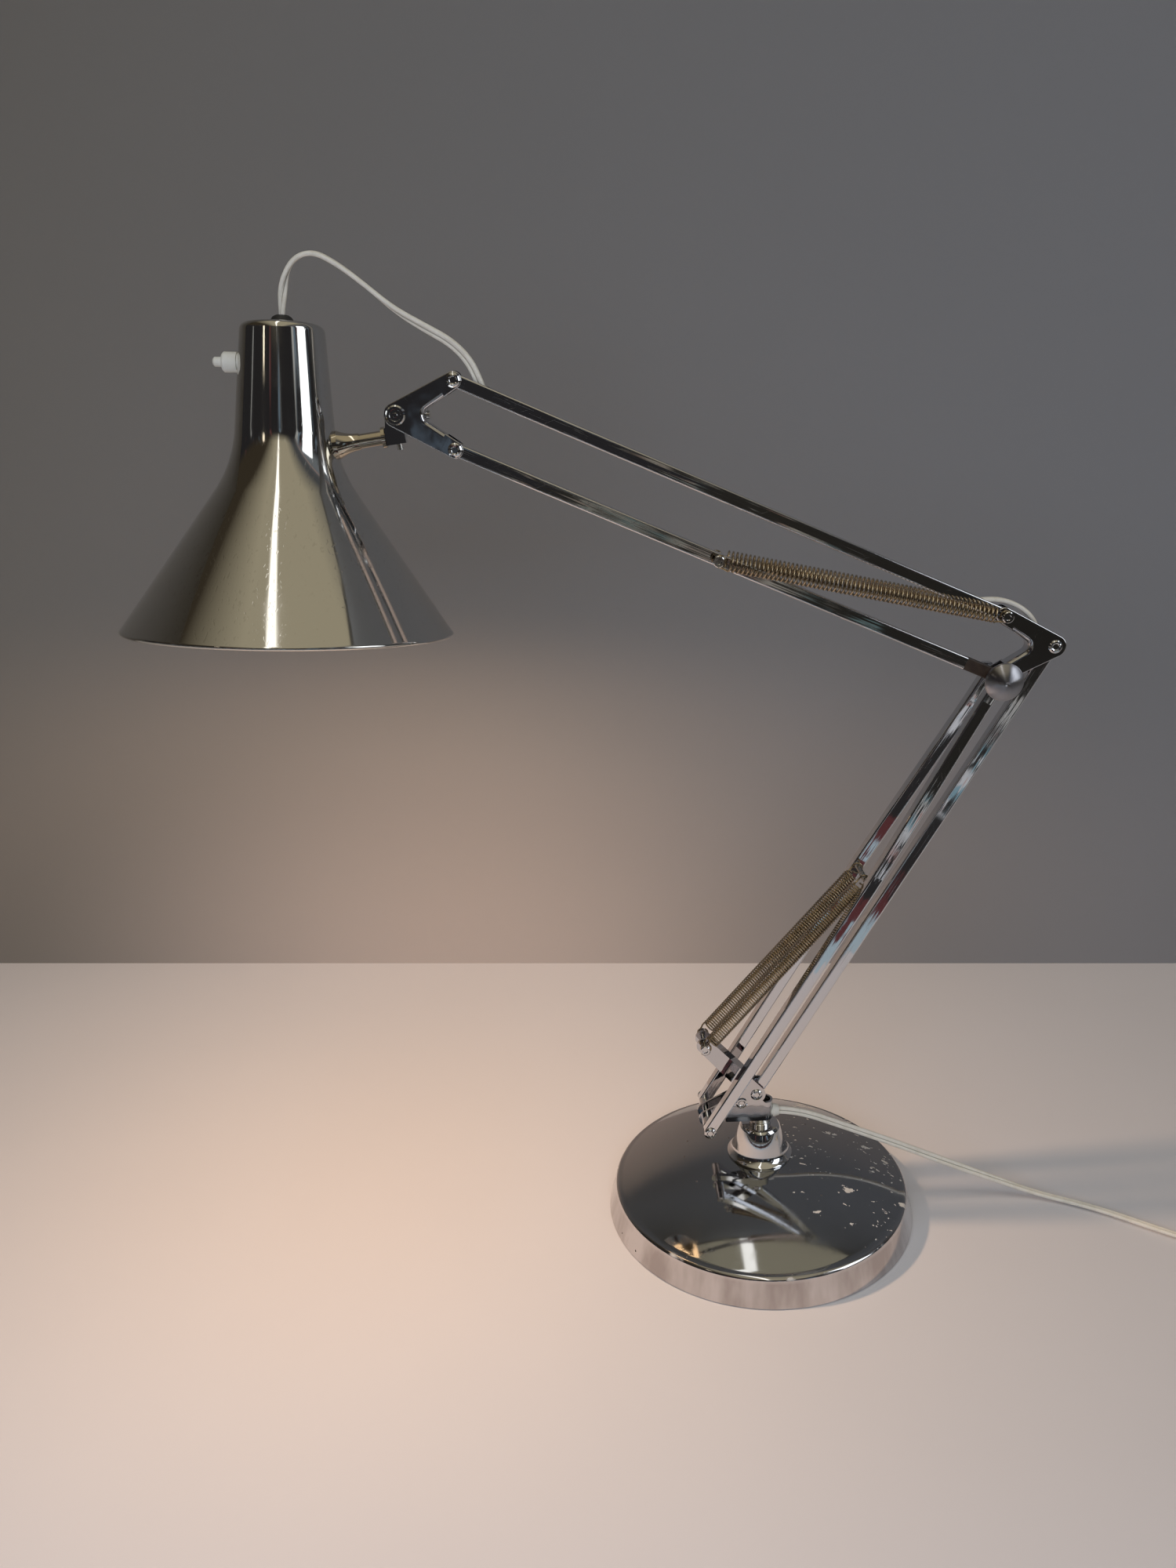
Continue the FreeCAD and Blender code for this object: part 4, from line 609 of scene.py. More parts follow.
def makeKnob(spec):
    r = spec["radius"]
    rim = spec["back"] + spec["hubLength"]
    edge, ball = spec["edge"], spec["ball"]
    middle = spec["top"] - ball
    edgeX = r - edge
    edgeZ = math.sqrt((ball - edge) ** 2 - edgeX**2)
    lean = math.degrees(math.atan2(edgeZ, edgeX))
    wide, deep = spec["dimple"]
    outline = [(spec["bore"], spec["back"]), (spec["hub"], spec["back"]), (spec["hub"] + spec["hubEdge"], rim)]
    outline += arc(r - spec["backEdge"], rim + spec["backEdge"], spec["backEdge"], -90, 0, 8)
    outline += arc(edgeX, middle + edgeZ, edge, 0, lean, 8)
    outline += arc(0, middle, ball, lean, math.degrees(math.acos(wide / ball)), 18)[1:]
    face, (across, down) = outline[-1][1], spec["dimpleStep"]
    outline += [(wide * across, face - deep * down), (0.0, face - deep)]
    outline += [(0.0, spec["boreEnd"]), (spec["bore"], spec["boreEnd"])]
    place = Matrix.Translation(e1) @ turned(90, "X")
    piece = linkMesh("knobSkin", turnedMesh("knobSkin", outline, place, segments=96, sharp=40))
    return chromeSkin(piece, "knob", "elbow_knob")


knobSkin = makeKnob(knobSizes)
print("knob made")

# springs: the wound length comes from a node tree, the eyes are swept to meet it
springPins = {
    "anchor": 0.0568,
    "anchorAngle": 92,
    "crossAlong": 0.202,
    "crossOffset": 1.8 * mm,
    "clipAlong": 0.1625,
}
anchorPin = polar(q1, springPins["anchor"], springPins["anchorAngle"])
crossPin = polar(q1, springPins["crossAlong"], armSizes["lowerAngle"])
crossPin = polar(crossPin, springPins["crossOffset"], armSizes["lowerAngle"] + 90)
clipPin = polar(h3, springPins["clipAlong"], armSizes["upperAngle"] + 180)
eyeShape = {
    "radius": 3.3 * mm,
    "pin": 1.8 * mm,
    "clear": 0.05 * mm,
    "tip": 1.0 * mm,
    "turn": -270,
    "steps": 27,
    "pull": 0.55,  # how softly the eye runs over into the coil
    "pullSteps": 12,
    "lead": 2.4 * mm,
}
springSizes = {
    "lower": {
        "wire": 0.56 * mm,
        "radius": 4.1 * mm,
        "turns": 82,
        "pins": (anchorPin, crossPin),
        "bodies": ("swivel", "lower_arm"),
        "bend": 0.65,
    },
    "upper": {
        "wire": 0.6 * mm,
        "radius": 4.5 * mm,
        "turns": 62,
        "pins": (e3, clipPin),
        "bodies": ("elbow", "lower_link"),
        "bend": 0.30,
    },
}
springOffset = 9.9 * mm  # from the arm's middle plane


def socketId(tree, name):
    for item in tree.interface.items_tree:
        if item.in_out == "INPUT" and item.name == name:
            return item.identifier


def coilTree():
    # helix of round wire along +Z with its start on +X
    tree = bpy.data.node_groups.new("woundWire", "GeometryNodeTree")
    tree.interface.new_socket("Geometry", in_out="OUTPUT", socket_type="NodeSocketGeometry")
    for name in ("Turns", "Radius", "Length", "Wire"):
        tree.interface.new_socket(name, in_out="INPUT", socket_type="NodeSocketFloat")
    tree.interface.new_socket("Finish", in_out="INPUT", socket_type="NodeSocketMaterial")
    add = tree.nodes.new
    source, result = add("NodeGroupInput"), add("NodeGroupOutput")
    spiral, ring = add("GeometryNodeCurveSpiral"), add("GeometryNodeCurvePrimitiveCircle")
    sweep, realize = add("GeometryNodeCurveToMesh"), add("GeometryNodeRealizeInstances")
    finish = add("GeometryNodeSetMaterial")
    spiral.inputs["Resolution"].default_value = 18
    ring.inputs["Resolution"].default_value = 8
    for start, given, end, taken in (
        (source, "Turns", spiral, "Rotations"),
        (source, "Radius", spiral, "Start Radius"),
        (source, "Radius", spiral, "End Radius"),
        (source, "Length", spiral, "Height"),
        (source, "Wire", ring, "Radius"),
        (spiral, "Curve", sweep, "Curve"),
        (ring, "Curve", sweep, "Profile Curve"),
        (sweep, "Mesh", realize, "Geometry"),
        (realize, "Geometry", finish, "Geometry"),
        (source, "Finish", finish, "Material"),
        (finish, "Geometry", result, "Geometry"),
    ):
        tree.links.new(start.outputs[given], end.inputs[taken])
    return tree


woundWire = coilTree()


def treeMesh(tree, values, name):
    # plain mesh of a node tree's result
    carrier = linkMesh(name, bpy.data.meshes.new(name))
    modifier = carrier.modifiers.new("tree", "NODES")
    modifier.node_group = tree
    for key, value in values.items():
        modifier[socketId(tree, key)] = value
    mesh = evaluatedMesh(carrier)
    carrier.modifiers.clear()
    bpy.data.objects.remove(carrier)
    return mesh


def eyeLine(spec, pin, ahead, across, wire, coilStart, coilDirection):
    # open hook round the pin that runs over into the first turn
    r = spec["radius"]
    centre = pin + ahead * (r - wire - spec["pin"] - spec["clear"])
    points = [centre + ahead * r + across * spec["tip"]]
    for k in range(spec["steps"] + 1):
        w = math.radians(spec["turn"] * k / spec["steps"])
        points.append(centre + ahead * (r * math.cos(w)) + across * (r * math.sin(w)))
    leave = points[-1]
    pull = (coilStart - leave).length * spec["pull"]
    a, b = leave + ahead * pull, coilStart - coilDirection * pull
    for k in range(1, spec["pullSteps"] + 1):
        t = k / spec["pullSteps"]
        back = 1 - t
        points.append(leave * back**3 + a * (3 * t * back**2) + b * (3 * t**2 * back) + coilStart * t**3)
    return points


def makeSpring(name, side, spec, node):
    a, b = [Vector((pin.x, side * springOffset, pin.z)) for pin in spec["pins"]]
    along = (b - a).normalized()
    yAxis = Vector((0, 1, 0))
    across = along.cross(yAxis).normalized()
    spin = along.cross(across)
    wire, r, turns = spec["wire"], spec["radius"], spec["turns"]
    lead = (eyeShape["radius"] - wire - eyeShape["pin"]) + eyeShape["radius"] + eyeShape["lead"]
    length = (b - a).length - 2 * lead
    coil = treeMesh(woundWire, {"Turns": float(turns), "Radius": r, "Length": length, "Wire": wire}, name)
    place = Matrix((across, spin, along)).transposed().to_4x4()
    place.translation = a + along * lead
    coil.transform(place)
    forward = (spin * r + along * (length / turns / (2 * math.pi))).normalized()
    coilStart, coilEnd = a + along * lead + across * r, b - along * lead + across * r
    section = roundSection(wire, 8)
    head = sweepMesh(name + "Head", eyeLine(eyeShape, a, along, across, wire, coilStart, forward), section, yAxis)
    tail = sweepMesh(name + "Tail", eyeLine(eyeShape, b, -along, across, wire, coilEnd, -forward), section, yAxis)
    bm = bmesh.new()
    for mesh in (coil, head, tail):
        bm.from_mesh(mesh)
        bpy.data.meshes.remove(mesh)
    for face in bm.faces:
        face.smooth = True
    piece = linkMesh(name, meshOf(bm, name))
    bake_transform(piece)  # bakes the placement into the mesh
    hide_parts(node)
    return piece


springs = []
for sideName, side in (("Near", -1), ("Far", 1)):
    for arm, spec in springSizes.items():
        springs.append(makeSpring(arm + "Spring" + sideName, side, spec, arm + "_spring_" + sideName.lower()))
print("springs made:", len(springs))


# finishes: wiring of nodes, and what several of them share
class Graph:
    # short hand for wiring nodes in one tree
    def __init__(self, tree):
        self.tree = tree

    def node(self, kind, settings=None, **inputs):
        made = self.tree.nodes.new(kind)
        for key, value in (settings or {}).items():
            setattr(made, key, value)
        for key, value in inputs.items():
            self.put(made.inputs[key.replace("_", " ")], value)
        return made

    def put(self, socket, value):
        if isinstance(value, bpy.types.NodeSocket):
            self.tree.links.new(value, socket)
        elif socket.type == "RGBA" and len(value) == 3:
            socket.default_value = (*value, 1)
        else:
            socket.default_value = value

    def math(self, operation, a, b=0.0, clamp=False):
        made = self.node("ShaderNodeMath", {"operation": operation, "use_clamp": clamp})
        self.put(made.inputs[0], a)
        self.put(made.inputs[1], b)
        return made.outputs[0]

    times = partialmethod(math, "MULTIPLY")
    plus = partialmethod(math, "ADD")
    minus = partialmethod(math, "SUBTRACT")
    most = partialmethod(math, "MAXIMUM")

    def offset(self, a, b):
        return self.math("ABSOLUTE", self.minus(a, b))

    def vector(self, operation, a, b):
        made = self.node("ShaderNodeVectorMath", {"operation": operation})
        self.put(made.inputs[0], a)
        self.put(made.inputs["Scale" if operation == "SCALE" else 1], b)
        return made.outputs["Value" if operation == "DISTANCE" else "Vector"]

    def range(self, value, low, high, toLow=0.0, toHigh=1.0, smooth=False):
        made = self.node("ShaderNodeMapRange", {"interpolation_type": "SMOOTHSTEP"} if smooth else None)
        names = ("Value", "From Min", "From Max", "To Min", "To Max")
        for key, put in zip(names, (value, low, high, toLow, toHigh)):
            self.put(made.inputs[key], put)
        return made.outputs["Result"]

    fall = partialmethod(range, toLow=1.0, toHigh=0.0)

    def mix(self, share, a, b):
        made = self.node("ShaderNodeMix", {"data_type": "RGBA"}, Factor=share)
        self.put(made.inputs[6], a)
        self.put(made.inputs[7], b)
        return made.outputs[2]

    def noise(self, vector, scale, detail=3.0, rough=0.5, distortion=0.0):
        values = {"Vector": vector, "Scale": scale, "Detail": detail, "Roughness": rough, "Distortion": distortion}
        return self.node("ShaderNodeTexNoise", None, **values).outputs["Fac"]

    def cells(self, vector, scale):
        return self.node("ShaderNodeTexVoronoi", {"feature": "F1"}, Vector=vector, Scale=scale).outputs

    def channels(self, colour):
        return self.node("ShaderNodeSeparateColor", None, Color=colour).outputs

    def place(self):
        return self.node("ShaderNodeTexCoord").outputs["Object"]

    def axes(self, vector):
        return self.node("ShaderNodeSeparateXYZ", None, Vector=vector).outputs[:]

    def scaled(self, vector, scale):
        return self.node("ShaderNodeMapping", None, Vector=vector, Scale=scale).outputs["Vector"]


def shaderGroup(name, inputs, outputs):
    tree = bpy.data.node_groups.new(name, "ShaderNodeTree")
    for label, value in inputs.items():
        socket = tree.interface.new_socket(label, in_out="INPUT", socket_type="NodeSocketFloat")
        socket.default_value = value
    for label in outputs:
        tree.interface.new_socket(label, in_out="OUTPUT", socket_type="NodeSocketFloat")
    return tree, tree.nodes.new("NodeGroupInput"), tree.nodes.new("NodeGroupOutput")


def drawnOut(g, place, turn, stretch):
    # coordinates turned about Y so that X runs along a bar, then stretched
    leaning = g.node("ShaderNodeVectorRotate", {"rotation_type": "Y_AXIS"}, Vector=place, Angle=turn)
    return g.vector("MULTIPLY", leaning.outputs[0], stretch)


plateMarks = {
    "inputs": {"Gloss": 0.05, "Smear": 0.08, "Hairlines": 0.5, "Scale": 1.0, "Turn": 0.0},
    "outputs": ("Roughness", "Marks", "Height"),
    "smear": {"scale": 26.0, "detail": 5.0, "rough": 0.62, "distortion": 0.6, "shown": (0.48, 0.75)},
    "gate": {"scale": 17.0, "detail": 1.0, "shown": (0.44, 0.60)},  # where scratches gather
    "lengthwise": {"stretch": (22.0, 420.0, 900.0), "shown": (0.66, 0.71)},
    "crossing": {"stretch": (30.0, 500.0, 1100.0), "shown": (0.69, 0.73), "turn": 0.7},
    "pits": {"cells": 420.0, "size": (0.08, 0.16)},
    "pitted": {"scale": 60.0, "detail": 2.0, "shown": (0.62, 0.70)},
    "hairWeight": 0.6,
    "pitWeight": 0.3,
    "roughening": 0.3,
}


def patchy(g, place, shown, **noise):
    # noise stretched over the given range of values
    return g.range(g.noise(place, **noise), *shown)


def plateWearGroup(spec):
    # handling marks of plated metal: smears, straight scratches two ways and pin holes
    tree, source, result = shaderGroup("plateWear", spec["inputs"], spec["outputs"])
    g = Graph(tree)
    given = source.outputs
    spot = g.vector("SCALE", g.place(), given["Scale"])
    smear = patchy(g, spot, **spec["smear"])
    gate = patchy(g, spot, **spec["gate"])
    long, cross = spec["lengthwise"], spec["crossing"]
    lengthwise = patchy(g, drawnOut(g, spot, given["Turn"], long["stretch"]), long["shown"], scale=1.0, detail=1.0)
    crossTurn = g.plus(given["Turn"], cross["turn"])
    crossing = patchy(g, drawnOut(g, spot, crossTurn, cross["stretch"]), cross["shown"], scale=1.0, detail=1.0)
    hair = g.times(g.times(g.most(lengthwise, crossing), gate), given["Hairlines"])
    holes = g.cells(spot, spec["pits"]["cells"])["Distance"]
    pit = g.times(g.fall(holes, *spec["pits"]["size"]), patchy(g, spot, **spec["pitted"]))
    marks = g.plus(g.times(hair, spec["hairWeight"]), g.times(pit, spec["pitWeight"]), clamp=True)
    rough = g.plus(given["Gloss"], g.times(smear, given["Smear"]))
    g.put(result.inputs["Roughness"], g.plus(rough, g.times(marks, spec["roughening"]), clamp=True))
    g.put(result.inputs["Marks"], marks)
    g.put(result.inputs["Height"], g.times(marks, -1.0))
    return tree


plateWear = plateWearGroup(plateMarks)


def newMaterial(name):
    material = bpy.data.materials.new(name)
    material.use_nodes = True
    tree = material.node_tree
    tree.nodes.clear()
    shader = tree.nodes.new("ShaderNodeBsdfPrincipled")
    output = tree.nodes.new("ShaderNodeOutputMaterial")
    tree.links.new(shader.outputs[0], output.inputs["Surface"])
    return material, Graph(tree), shader.inputs


def useGroup(g, group, values):
    made = g.node("ShaderNodeGroup", {"node_tree": group})
    for key, value in values.items():
        g.put(made.inputs[key], value)
    return made.outputs


def addBump(g, inputs, height, strength, distance):
    bump = g.node("ShaderNodeBump", None, Height=height, Strength=strength, Distance=distance)
    g.put(inputs["Normal"], bump.outputs["Normal"])


lowerTurn, upperTurn = math.radians(armSizes["lowerAngle"]), math.radians(armSizes["upperAngle"])
alongBar = (9.0, 90.0, 230.0)
chromeFinish = {  # tone, worn tone, (gloss, smear, hairlines, scale, turn), dents and their spread
    "chromeLowerBars": ((0.72, 0.72, 0.74), (0.30, 0.27, 0.24), (0.03, 0.04, 0.3, 1.6, lowerTurn), 0.10, alongBar),
    "chromeUpperBars": ((0.68, 0.68, 0.70), (0.30, 0.27, 0.24), (0.035, 0.05, 0.3, 1.6, upperTurn), 0.10, alongBar),
    "chromeBrackets": ((0.62, 0.62, 0.64), (0.28, 0.25, 0.22), (0.04, 0.06, 0.05, 1.7, 0.35), 0.30, (38.0,) * 3),
    "chromeShade": ((0.64, 0.63, 0.60), (0.36, 0.34, 0.30), (0.055, 0.08, 0.35, 0.8, 1.2), 0.25, (9.0,) * 3),
    "chromeTurned": ((0.66, 0.66, 0.67), (0.30, 0.27, 0.24), (0.04, 0.05, 0.2, 1.8, 0.0), 0.05, (40.0,) * 3),
    "chromeStem": ((0.62, 0.56, 0.46), (0.34, 0.26, 0.16), (0.06, 0.08, 0.3, 2.0, 0.1), 0.05, (40.0,) * 3),
    "chromeKnob": ((0.40, 0.40, 0.43), (0.24, 0.22, 0.20), (0.30, 0.08, 0.1, 2.0, 0.0), 0.03, (60.0,) * 3),
}
markDepth = 0.04  # height of the marks beside that of the dents
knobMarks = {"Anisotropic": 0.85, "Anisotropic Rotation": 0.25}  # turning marks run round the face


def chromeMaterial(name, tone, worn, given, dents, spread):
    g, inputs = newMaterial(name)[1:]
    place = g.place()
    wear = useGroup(g, plateWear, dict(zip(plateMarks["inputs"], given)))
    g.put(inputs["Base Color"], g.mix(wear["Marks"], tone, worn))
    g.put(inputs["Roughness"], wear["Roughness"])
    g.put(inputs["Metallic"], 1.0)
    wave = g.times(g.noise(drawnOut(g, place, given[-1], spread), 1.0, 2.0), dents)
    addBump(g, inputs, g.plus(wave, g.times(wear["Height"], markDepth)), 1.0, 1 * mm)
    return g, inputs


def addTurningMarks(g, inputs):
    for key, value in knobMarks.items():
        g.put(inputs[key], value)
    roundFace = g.node("ShaderNodeTangent", {"direction_type": "UV_MAP", "uv_map": "turned"})
    g.put(inputs["Tangent"], roundFace.outputs["Tangent"])


plated = {name: chromeMaterial(name, *row) for name, row in chromeFinish.items()}
addTurningMarks(*plated["chromeKnob"])

baseFinish = {
    # the dome's tone is painted dark and the skirt's pale: painted reflection of the dim wall and the pale table
    "tone": (0.37, 0.38, 0.395),
    "flake": (0.72, 0.70, 0.67),
    "rust": (0.06, 0.045, 0.035),
    "skirt": (0.72, 0.69, 0.69),
    "smudge": (0.48, 0.44, 0.43),
    "wear": {"Gloss": 0.06, "Smear": 0.10, "Hairlines": 0.3, "Scale": 1.2, "Turn": 0.6},
    "flakes": (  # cells per metre, smallest and largest share of a cell, how rare
        (130.0, 0.10, 0.42, 0.955),
        (330.0, 0.10, 0.34, 0.965),
    ),
    "flakeEdge": (-0.05, 0.02),
    "ragged": (230.0, 0.008),  # ripples per metre and reach of a flake's outline
    "drawn": (0.62, 1.25, 1.0),
    "lean": (3.0, 1.9),  # more flakes to the right and to the far side
    "clumps": (24.0, 2.0),
    "clumping": 0.5,
    "chipped": ((0.071, -0.060, 0.013), (0.028, 0.004, 0.018), (-0.012, -0.088, 0.006)),  # x, y, radius
    "chipping": 0.45,
    "flakesAbove": (0.0165, 0.0205),
    "rubHeight": 0.0192,
    "rubReach": (0.0004, 0.0012),
    "rubbed": {"scale": 46.0, "detail": 3.0, "shown": (0.58, 0.66)},
    "pinHoles": {"cells": 190.0, "rare": 0.945, "size": (0.10, 0.16)},
    "bands": (34.0, 34.0, 6.0),
    "banded": {"scale": 1.0, "detail": 4.0, "rough": 0.6, "shown": (0.42, 0.62)},
    "bandsBelow": (0.016, 0.0195),
    "paintedDarkDomeAbove": (0.0185, 0.0205),
    "bare": {"rough": 0.5, "metal": 0.8},
    "bump": (0.12, 0.3 * mm),
}


def flakeMask(g, spot, lean, kind, edge):
    cellScale, small, large, rare = kind
    cells = g.cells(spot, cellScale)
    chance = g.channels(cells["Color"])
    picked = g.math("GREATER_THAN", chance["Red"], g.minus(rare, lean))
    size = g.range(chance["Green"], 0.0, 1.0, small, large)
    return g.times(picked, g.fall(g.minus(cells["Distance"], size), *edge))


def flakeLean(g, place, x, y, spec):
    # how likely a flake is: by side, in clumps, and more round the chipped places
    lean = g.plus(g.times(x, spec["lean"][0]), g.times(y, spec["lean"][1]))
    lean = g.plus(lean, g.times(g.minus(g.noise(place, *spec["clumps"]), 0.5), spec["clumping"]))
    flat = g.node("ShaderNodeCombineXYZ", None, X=x, Y=y).outputs[0]
    for chipX, chipY, r in spec["chipped"]:
        away = g.vector("DISTANCE", flat, (chipX, chipY, 0))
        lean = g.plus(lean, g.range(away, r * 0.3, r, spec["chipping"], 0.0))
    return lean


def baseMaterial(spec):
    # plated cover whose plating has flaked on the right and the far side, with dark pin holes on the skirt; the
    # dome's plating is painted darker than the skirt's, a painted reflection of the dim wall above and the pale
    # table in front
    g, inputs = newMaterial("chromeBase")[1:]
    place = g.place()
    x, y, z = g.axes(place)
    wear = useGroup(g, plateWear, spec["wear"])
    ripples, reach = spec["ragged"]
    warp = g.node("ShaderNodeTexNoise", None, Vector=place, Scale=ripples, Detail=3.0).outputs["Color"]
    spot = g.vector("ADD", g.scaled(place, spec["drawn"]), g.vector("SCALE", warp, reach))
    lean = flakeLean(g, place, x, y, spec)
    flake = 0.0
    for kind in spec["flakes"]:
        flake = g.most(flakeMask(g, spot, lean, kind, spec["flakeEdge"]), flake)
    flake = g.times(flake, g.range(z, *spec["flakesAbove"]))
    atEdge = g.fall(g.offset(z, spec["rubHeight"]), *spec["rubReach"])
    flake = g.most(flake, g.times(atEdge, patchy(g, place, **spec["rubbed"])))
    holes = spec["pinHoles"]
    dots = g.cells(place, holes["cells"])
    picked = g.math("GREATER_THAN", g.channels(dots["Color"])["Blue"], holes["rare"])
    dot = g.times(picked, g.fall(dots["Distance"], *holes["size"]))
    band = patchy(g, g.scaled(place, spec["bands"]), **spec["banded"])
    handled = g.times(band, g.fall(z, *spec["bandsBelow"]))
    plate = g.mix(handled, spec["skirt"], spec["smudge"])
    # painted reflection: the dome above the shoulder takes the darker tone
    plate = g.mix(g.range(z, *spec["paintedDarkDomeAbove"]), plate, spec["tone"])
    g.put(inputs["Base Color"], g.mix(dot, g.mix(flake, plate, spec["flake"]), spec["rust"]))
    bare = g.most(flake, dot)
    g.put(inputs["Roughness"], g.plus(wear["Roughness"], g.times(bare, spec["bare"]["rough"]), clamp=True))
    g.put(inputs["Metallic"], g.minus(1.0, g.times(bare, spec["bare"]["metal"])))
    addBump(g, inputs, g.plus(wear["Height"], g.times(flake, -1.0)), *spec["bump"])


baseMaterial(baseFinish)

wireFinish = {
    "tones": ((0.38, 0.31, 0.22), (0.52, 0.42, 0.28)),
    "spread": {"scale": 130.0, "detail": 3.0, "shown": (0.35, 0.65)},
    "gloss": {"scale": 900.0, "detail": 2.0, "shown": (0.3, 0.7, 0.14, 0.26)},
}


def wireMaterial(spec):
    # bright spring wire with a warm drawn tint
    g, inputs = newMaterial("springWire")[1:]
    place = g.place()
    g.put(inputs["Base Color"], g.mix(patchy(g, place, **spec["spread"]), *spec["tones"]))
    g.put(inputs["Roughness"], patchy(g, place, **spec["gloss"]))
    g.put(inputs["Metallic"], 1.0)


wireMaterial(wireFinish)

cordFinish = {
    "tones": ((0.88, 0.83, 0.73), (0.76, 0.70, 0.59)),
    # painted shade in the groove between the two cores
    "groove": (0.24, 0.21, 0.17),
    "grooveFrom": (0.40, 0.48),
    "paintedGrooveShade": 0.85,
    "dirt": {"scale": 160.0, "detail": 4.0, "rough": 0.6, "shown": (0.45, 0.75)},
    "gloss": (0.34, 0.5),
    "grain": (900.0, 2.0),
    "bump": (0.08, 0.2 * mm),
}


def cordMaterial(spec):
    # cream flex: soft gloss, painted shade in the groove between the cores, faint handling marks
    g, inputs = newMaterial("cordSkin")[1:]
    place = g.place()
    aroundCord = g.axes(g.node("ShaderNodeTexCoord").outputs["UV"])[1]
    dirt = patchy(g, place, **spec["dirt"])
    # painted shade along the groove between the cores
    groove = g.range(g.offset(g.math("FRACT", g.times(aroundCord, 2.0)), 0.5), *spec["grooveFrom"])
    clean = g.mix(dirt, *spec["tones"])
    g.put(inputs["Base Color"], g.mix(g.times(groove, spec["paintedGrooveShade"]), clean, spec["groove"]))
    g.put(inputs["Roughness"], g.range(dirt, 0.0, 1.0, *spec["gloss"]))
    addBump(g, inputs, g.noise(place, *spec["grain"]), *spec["bump"])


cordMaterial(cordFinish)

plainFinish = {  # two close tones, patches per metre, least and most roughness; metal and bump where they differ
    "whitePlastic": ((0.80, 0.78, 0.71), (0.74, 0.71, 0.62), 90.0, (0.28, 0.42)),
    "blackRubber": ((0.018, 0.018, 0.018), (0.03, 0.028, 0.026), 300.0, (0.45, 0.6)),
    "darkBlock": ((0.035, 0.022, 0.016), (0.06, 0.04, 0.028), 220.0, (0.4, 0.6)),
    "satinSteel": ((0.56, 0.55, 0.52), (0.42, 0.40, 0.37), 240.0, (0.2, 0.34), 1.0),
    "plainBrass": ((0.72, 0.55, 0.28), (0.60, 0.44, 0.20), 160.0, (0.2, 0.35), 1.0),
    "castIron": ((0.10, 0.10, 0.10), (0.15, 0.145, 0.14), 400.0, (0.6, 0.8), 0.6, 0.5),
    "greenFelt": ((0.035, 0.06, 0.04), (0.05, 0.08, 0.055), 1400.0, (0.85, 0.95), 0.0, 0.6),
    "bakelite": ((0.03, 0.022, 0.018), (0.045, 0.034, 0.028), 150.0, (0.25, 0.4)),
}


def plainMaterial(name, toneA, toneB, scale, rough, metal=0.0, bump=0.1):
    # uneven tone and gloss, and a fine surface
    g, inputs = newMaterial(name)[1:]
    place = g.place()
    g.put(inputs["Base Color"], g.mix(g.range(g.noise(place, scale, 4.0, 0.6), 0.35, 0.7), toneA, toneB))
    g.put(inputs["Roughness"], g.range(g.noise(place, scale * 3, 3.0), 0.3, 0.7, *rough))
    g.put(inputs["Metallic"], metal)
    addBump(g, inputs, g.noise(place, scale * 8, 2.0), bump, 0.2 * mm)


for name, values in plainFinish.items():
    plainMaterial(name, *values)

bulbFinish = {
    "glass": ((0.92, 0.88, 0.78), (0.88, 0.83, 0.72)),
    "glow": ((1.0, 0.66, 0.36), (1.0, 0.62, 0.32)),
    "power": 3.0,
    "rough": 0.4,
    "spread": {"scale": 60.0, "detail": 2.0, "shown": (0.3, 0.7)},
}


def bulbMaterial(spec):
    # frosted glass, lit warm
    g, inputs = newMaterial("bulbGlow")[1:]
    tone = patchy(g, g.place(), **spec["spread"])
    g.put(inputs["Base Color"], g.mix(tone, *spec["glass"]))
    g.put(inputs["Emission Color"], g.mix(tone, *spec["glow"]))
    g.put(inputs["Emission Strength"], spec["power"])
    g.put(inputs["Roughness"], spec["rough"])


bulbMaterial(bulbFinish)

finishOf = {
    "chromeLowerBars": ["front_bar_near", "front_bar_far", "rear_bar"],
    "chromeUpperBars": ["upper_bar", "lower_bar"],
    "chromeBrackets": ["swivel_bracket", "elbow_bracket", "head_bracket"],
    "chromeTurned": [
        "socket_bell", "bracket_rivets", "front_pivot_pin", "pivot_spacers", "spring_anchor_pin", "elbow_rivet",
        "elbow_spring_pin", "elbow_nut", "spring_clip_pin", "head_rivets", "head_knuckle", "tilt_screw",
    ],
    "chromeStem": ["shade_stem", "stem_ferrule"],
    "satinSteel": [
        "base_bolt", "socket_grub_screw", "swivel_stud", "spring_cross_pin", "elbow_bolt", "head_clamp_screw",
        "knuckle_stop_screw",
    ],
    "plainBrass": ["holder_nipple", "holder_nut", "bulb_cap", "plug_pins"],
    "whitePlastic": ["cord_gland", "switch_body", "switch_collar", "switch_button", "plug_body", "coil_tie"],
    "blackRubber": ["shade_grommet"],
    "darkBlock": ["friction_block"],
    "castIron": ["base_weight"],
    "greenFelt": ["base_felt"],
    "bakelite": ["lampholder"],
    "bulbGlow": ["bulb_glass"],
    "cordSkin": ["cord_in_upper_bar", "cord_in_rear_bar"],
}
skins = {
    "chromeShade": [shadeSkin],
    "chromeBase": [coverSkin],
    "chromeKnob": [knobSkin],
    "chromeTurned": [bellSkin],
    "springWire": springs,
    "cordSkin": [mainsCord, *headCords, *elbowCords],
}


def paint(pieces, finish):
    for piece in pieces:
        piece.data.materials.clear()
        piece.data.materials.append(bpy.data.materials[finish])


for finish, names in finishOf.items():
    paint([nodes[name] for name in names], finish)
for finish, pieces in skins.items():
    paint(pieces, finish)
print("finishes set")

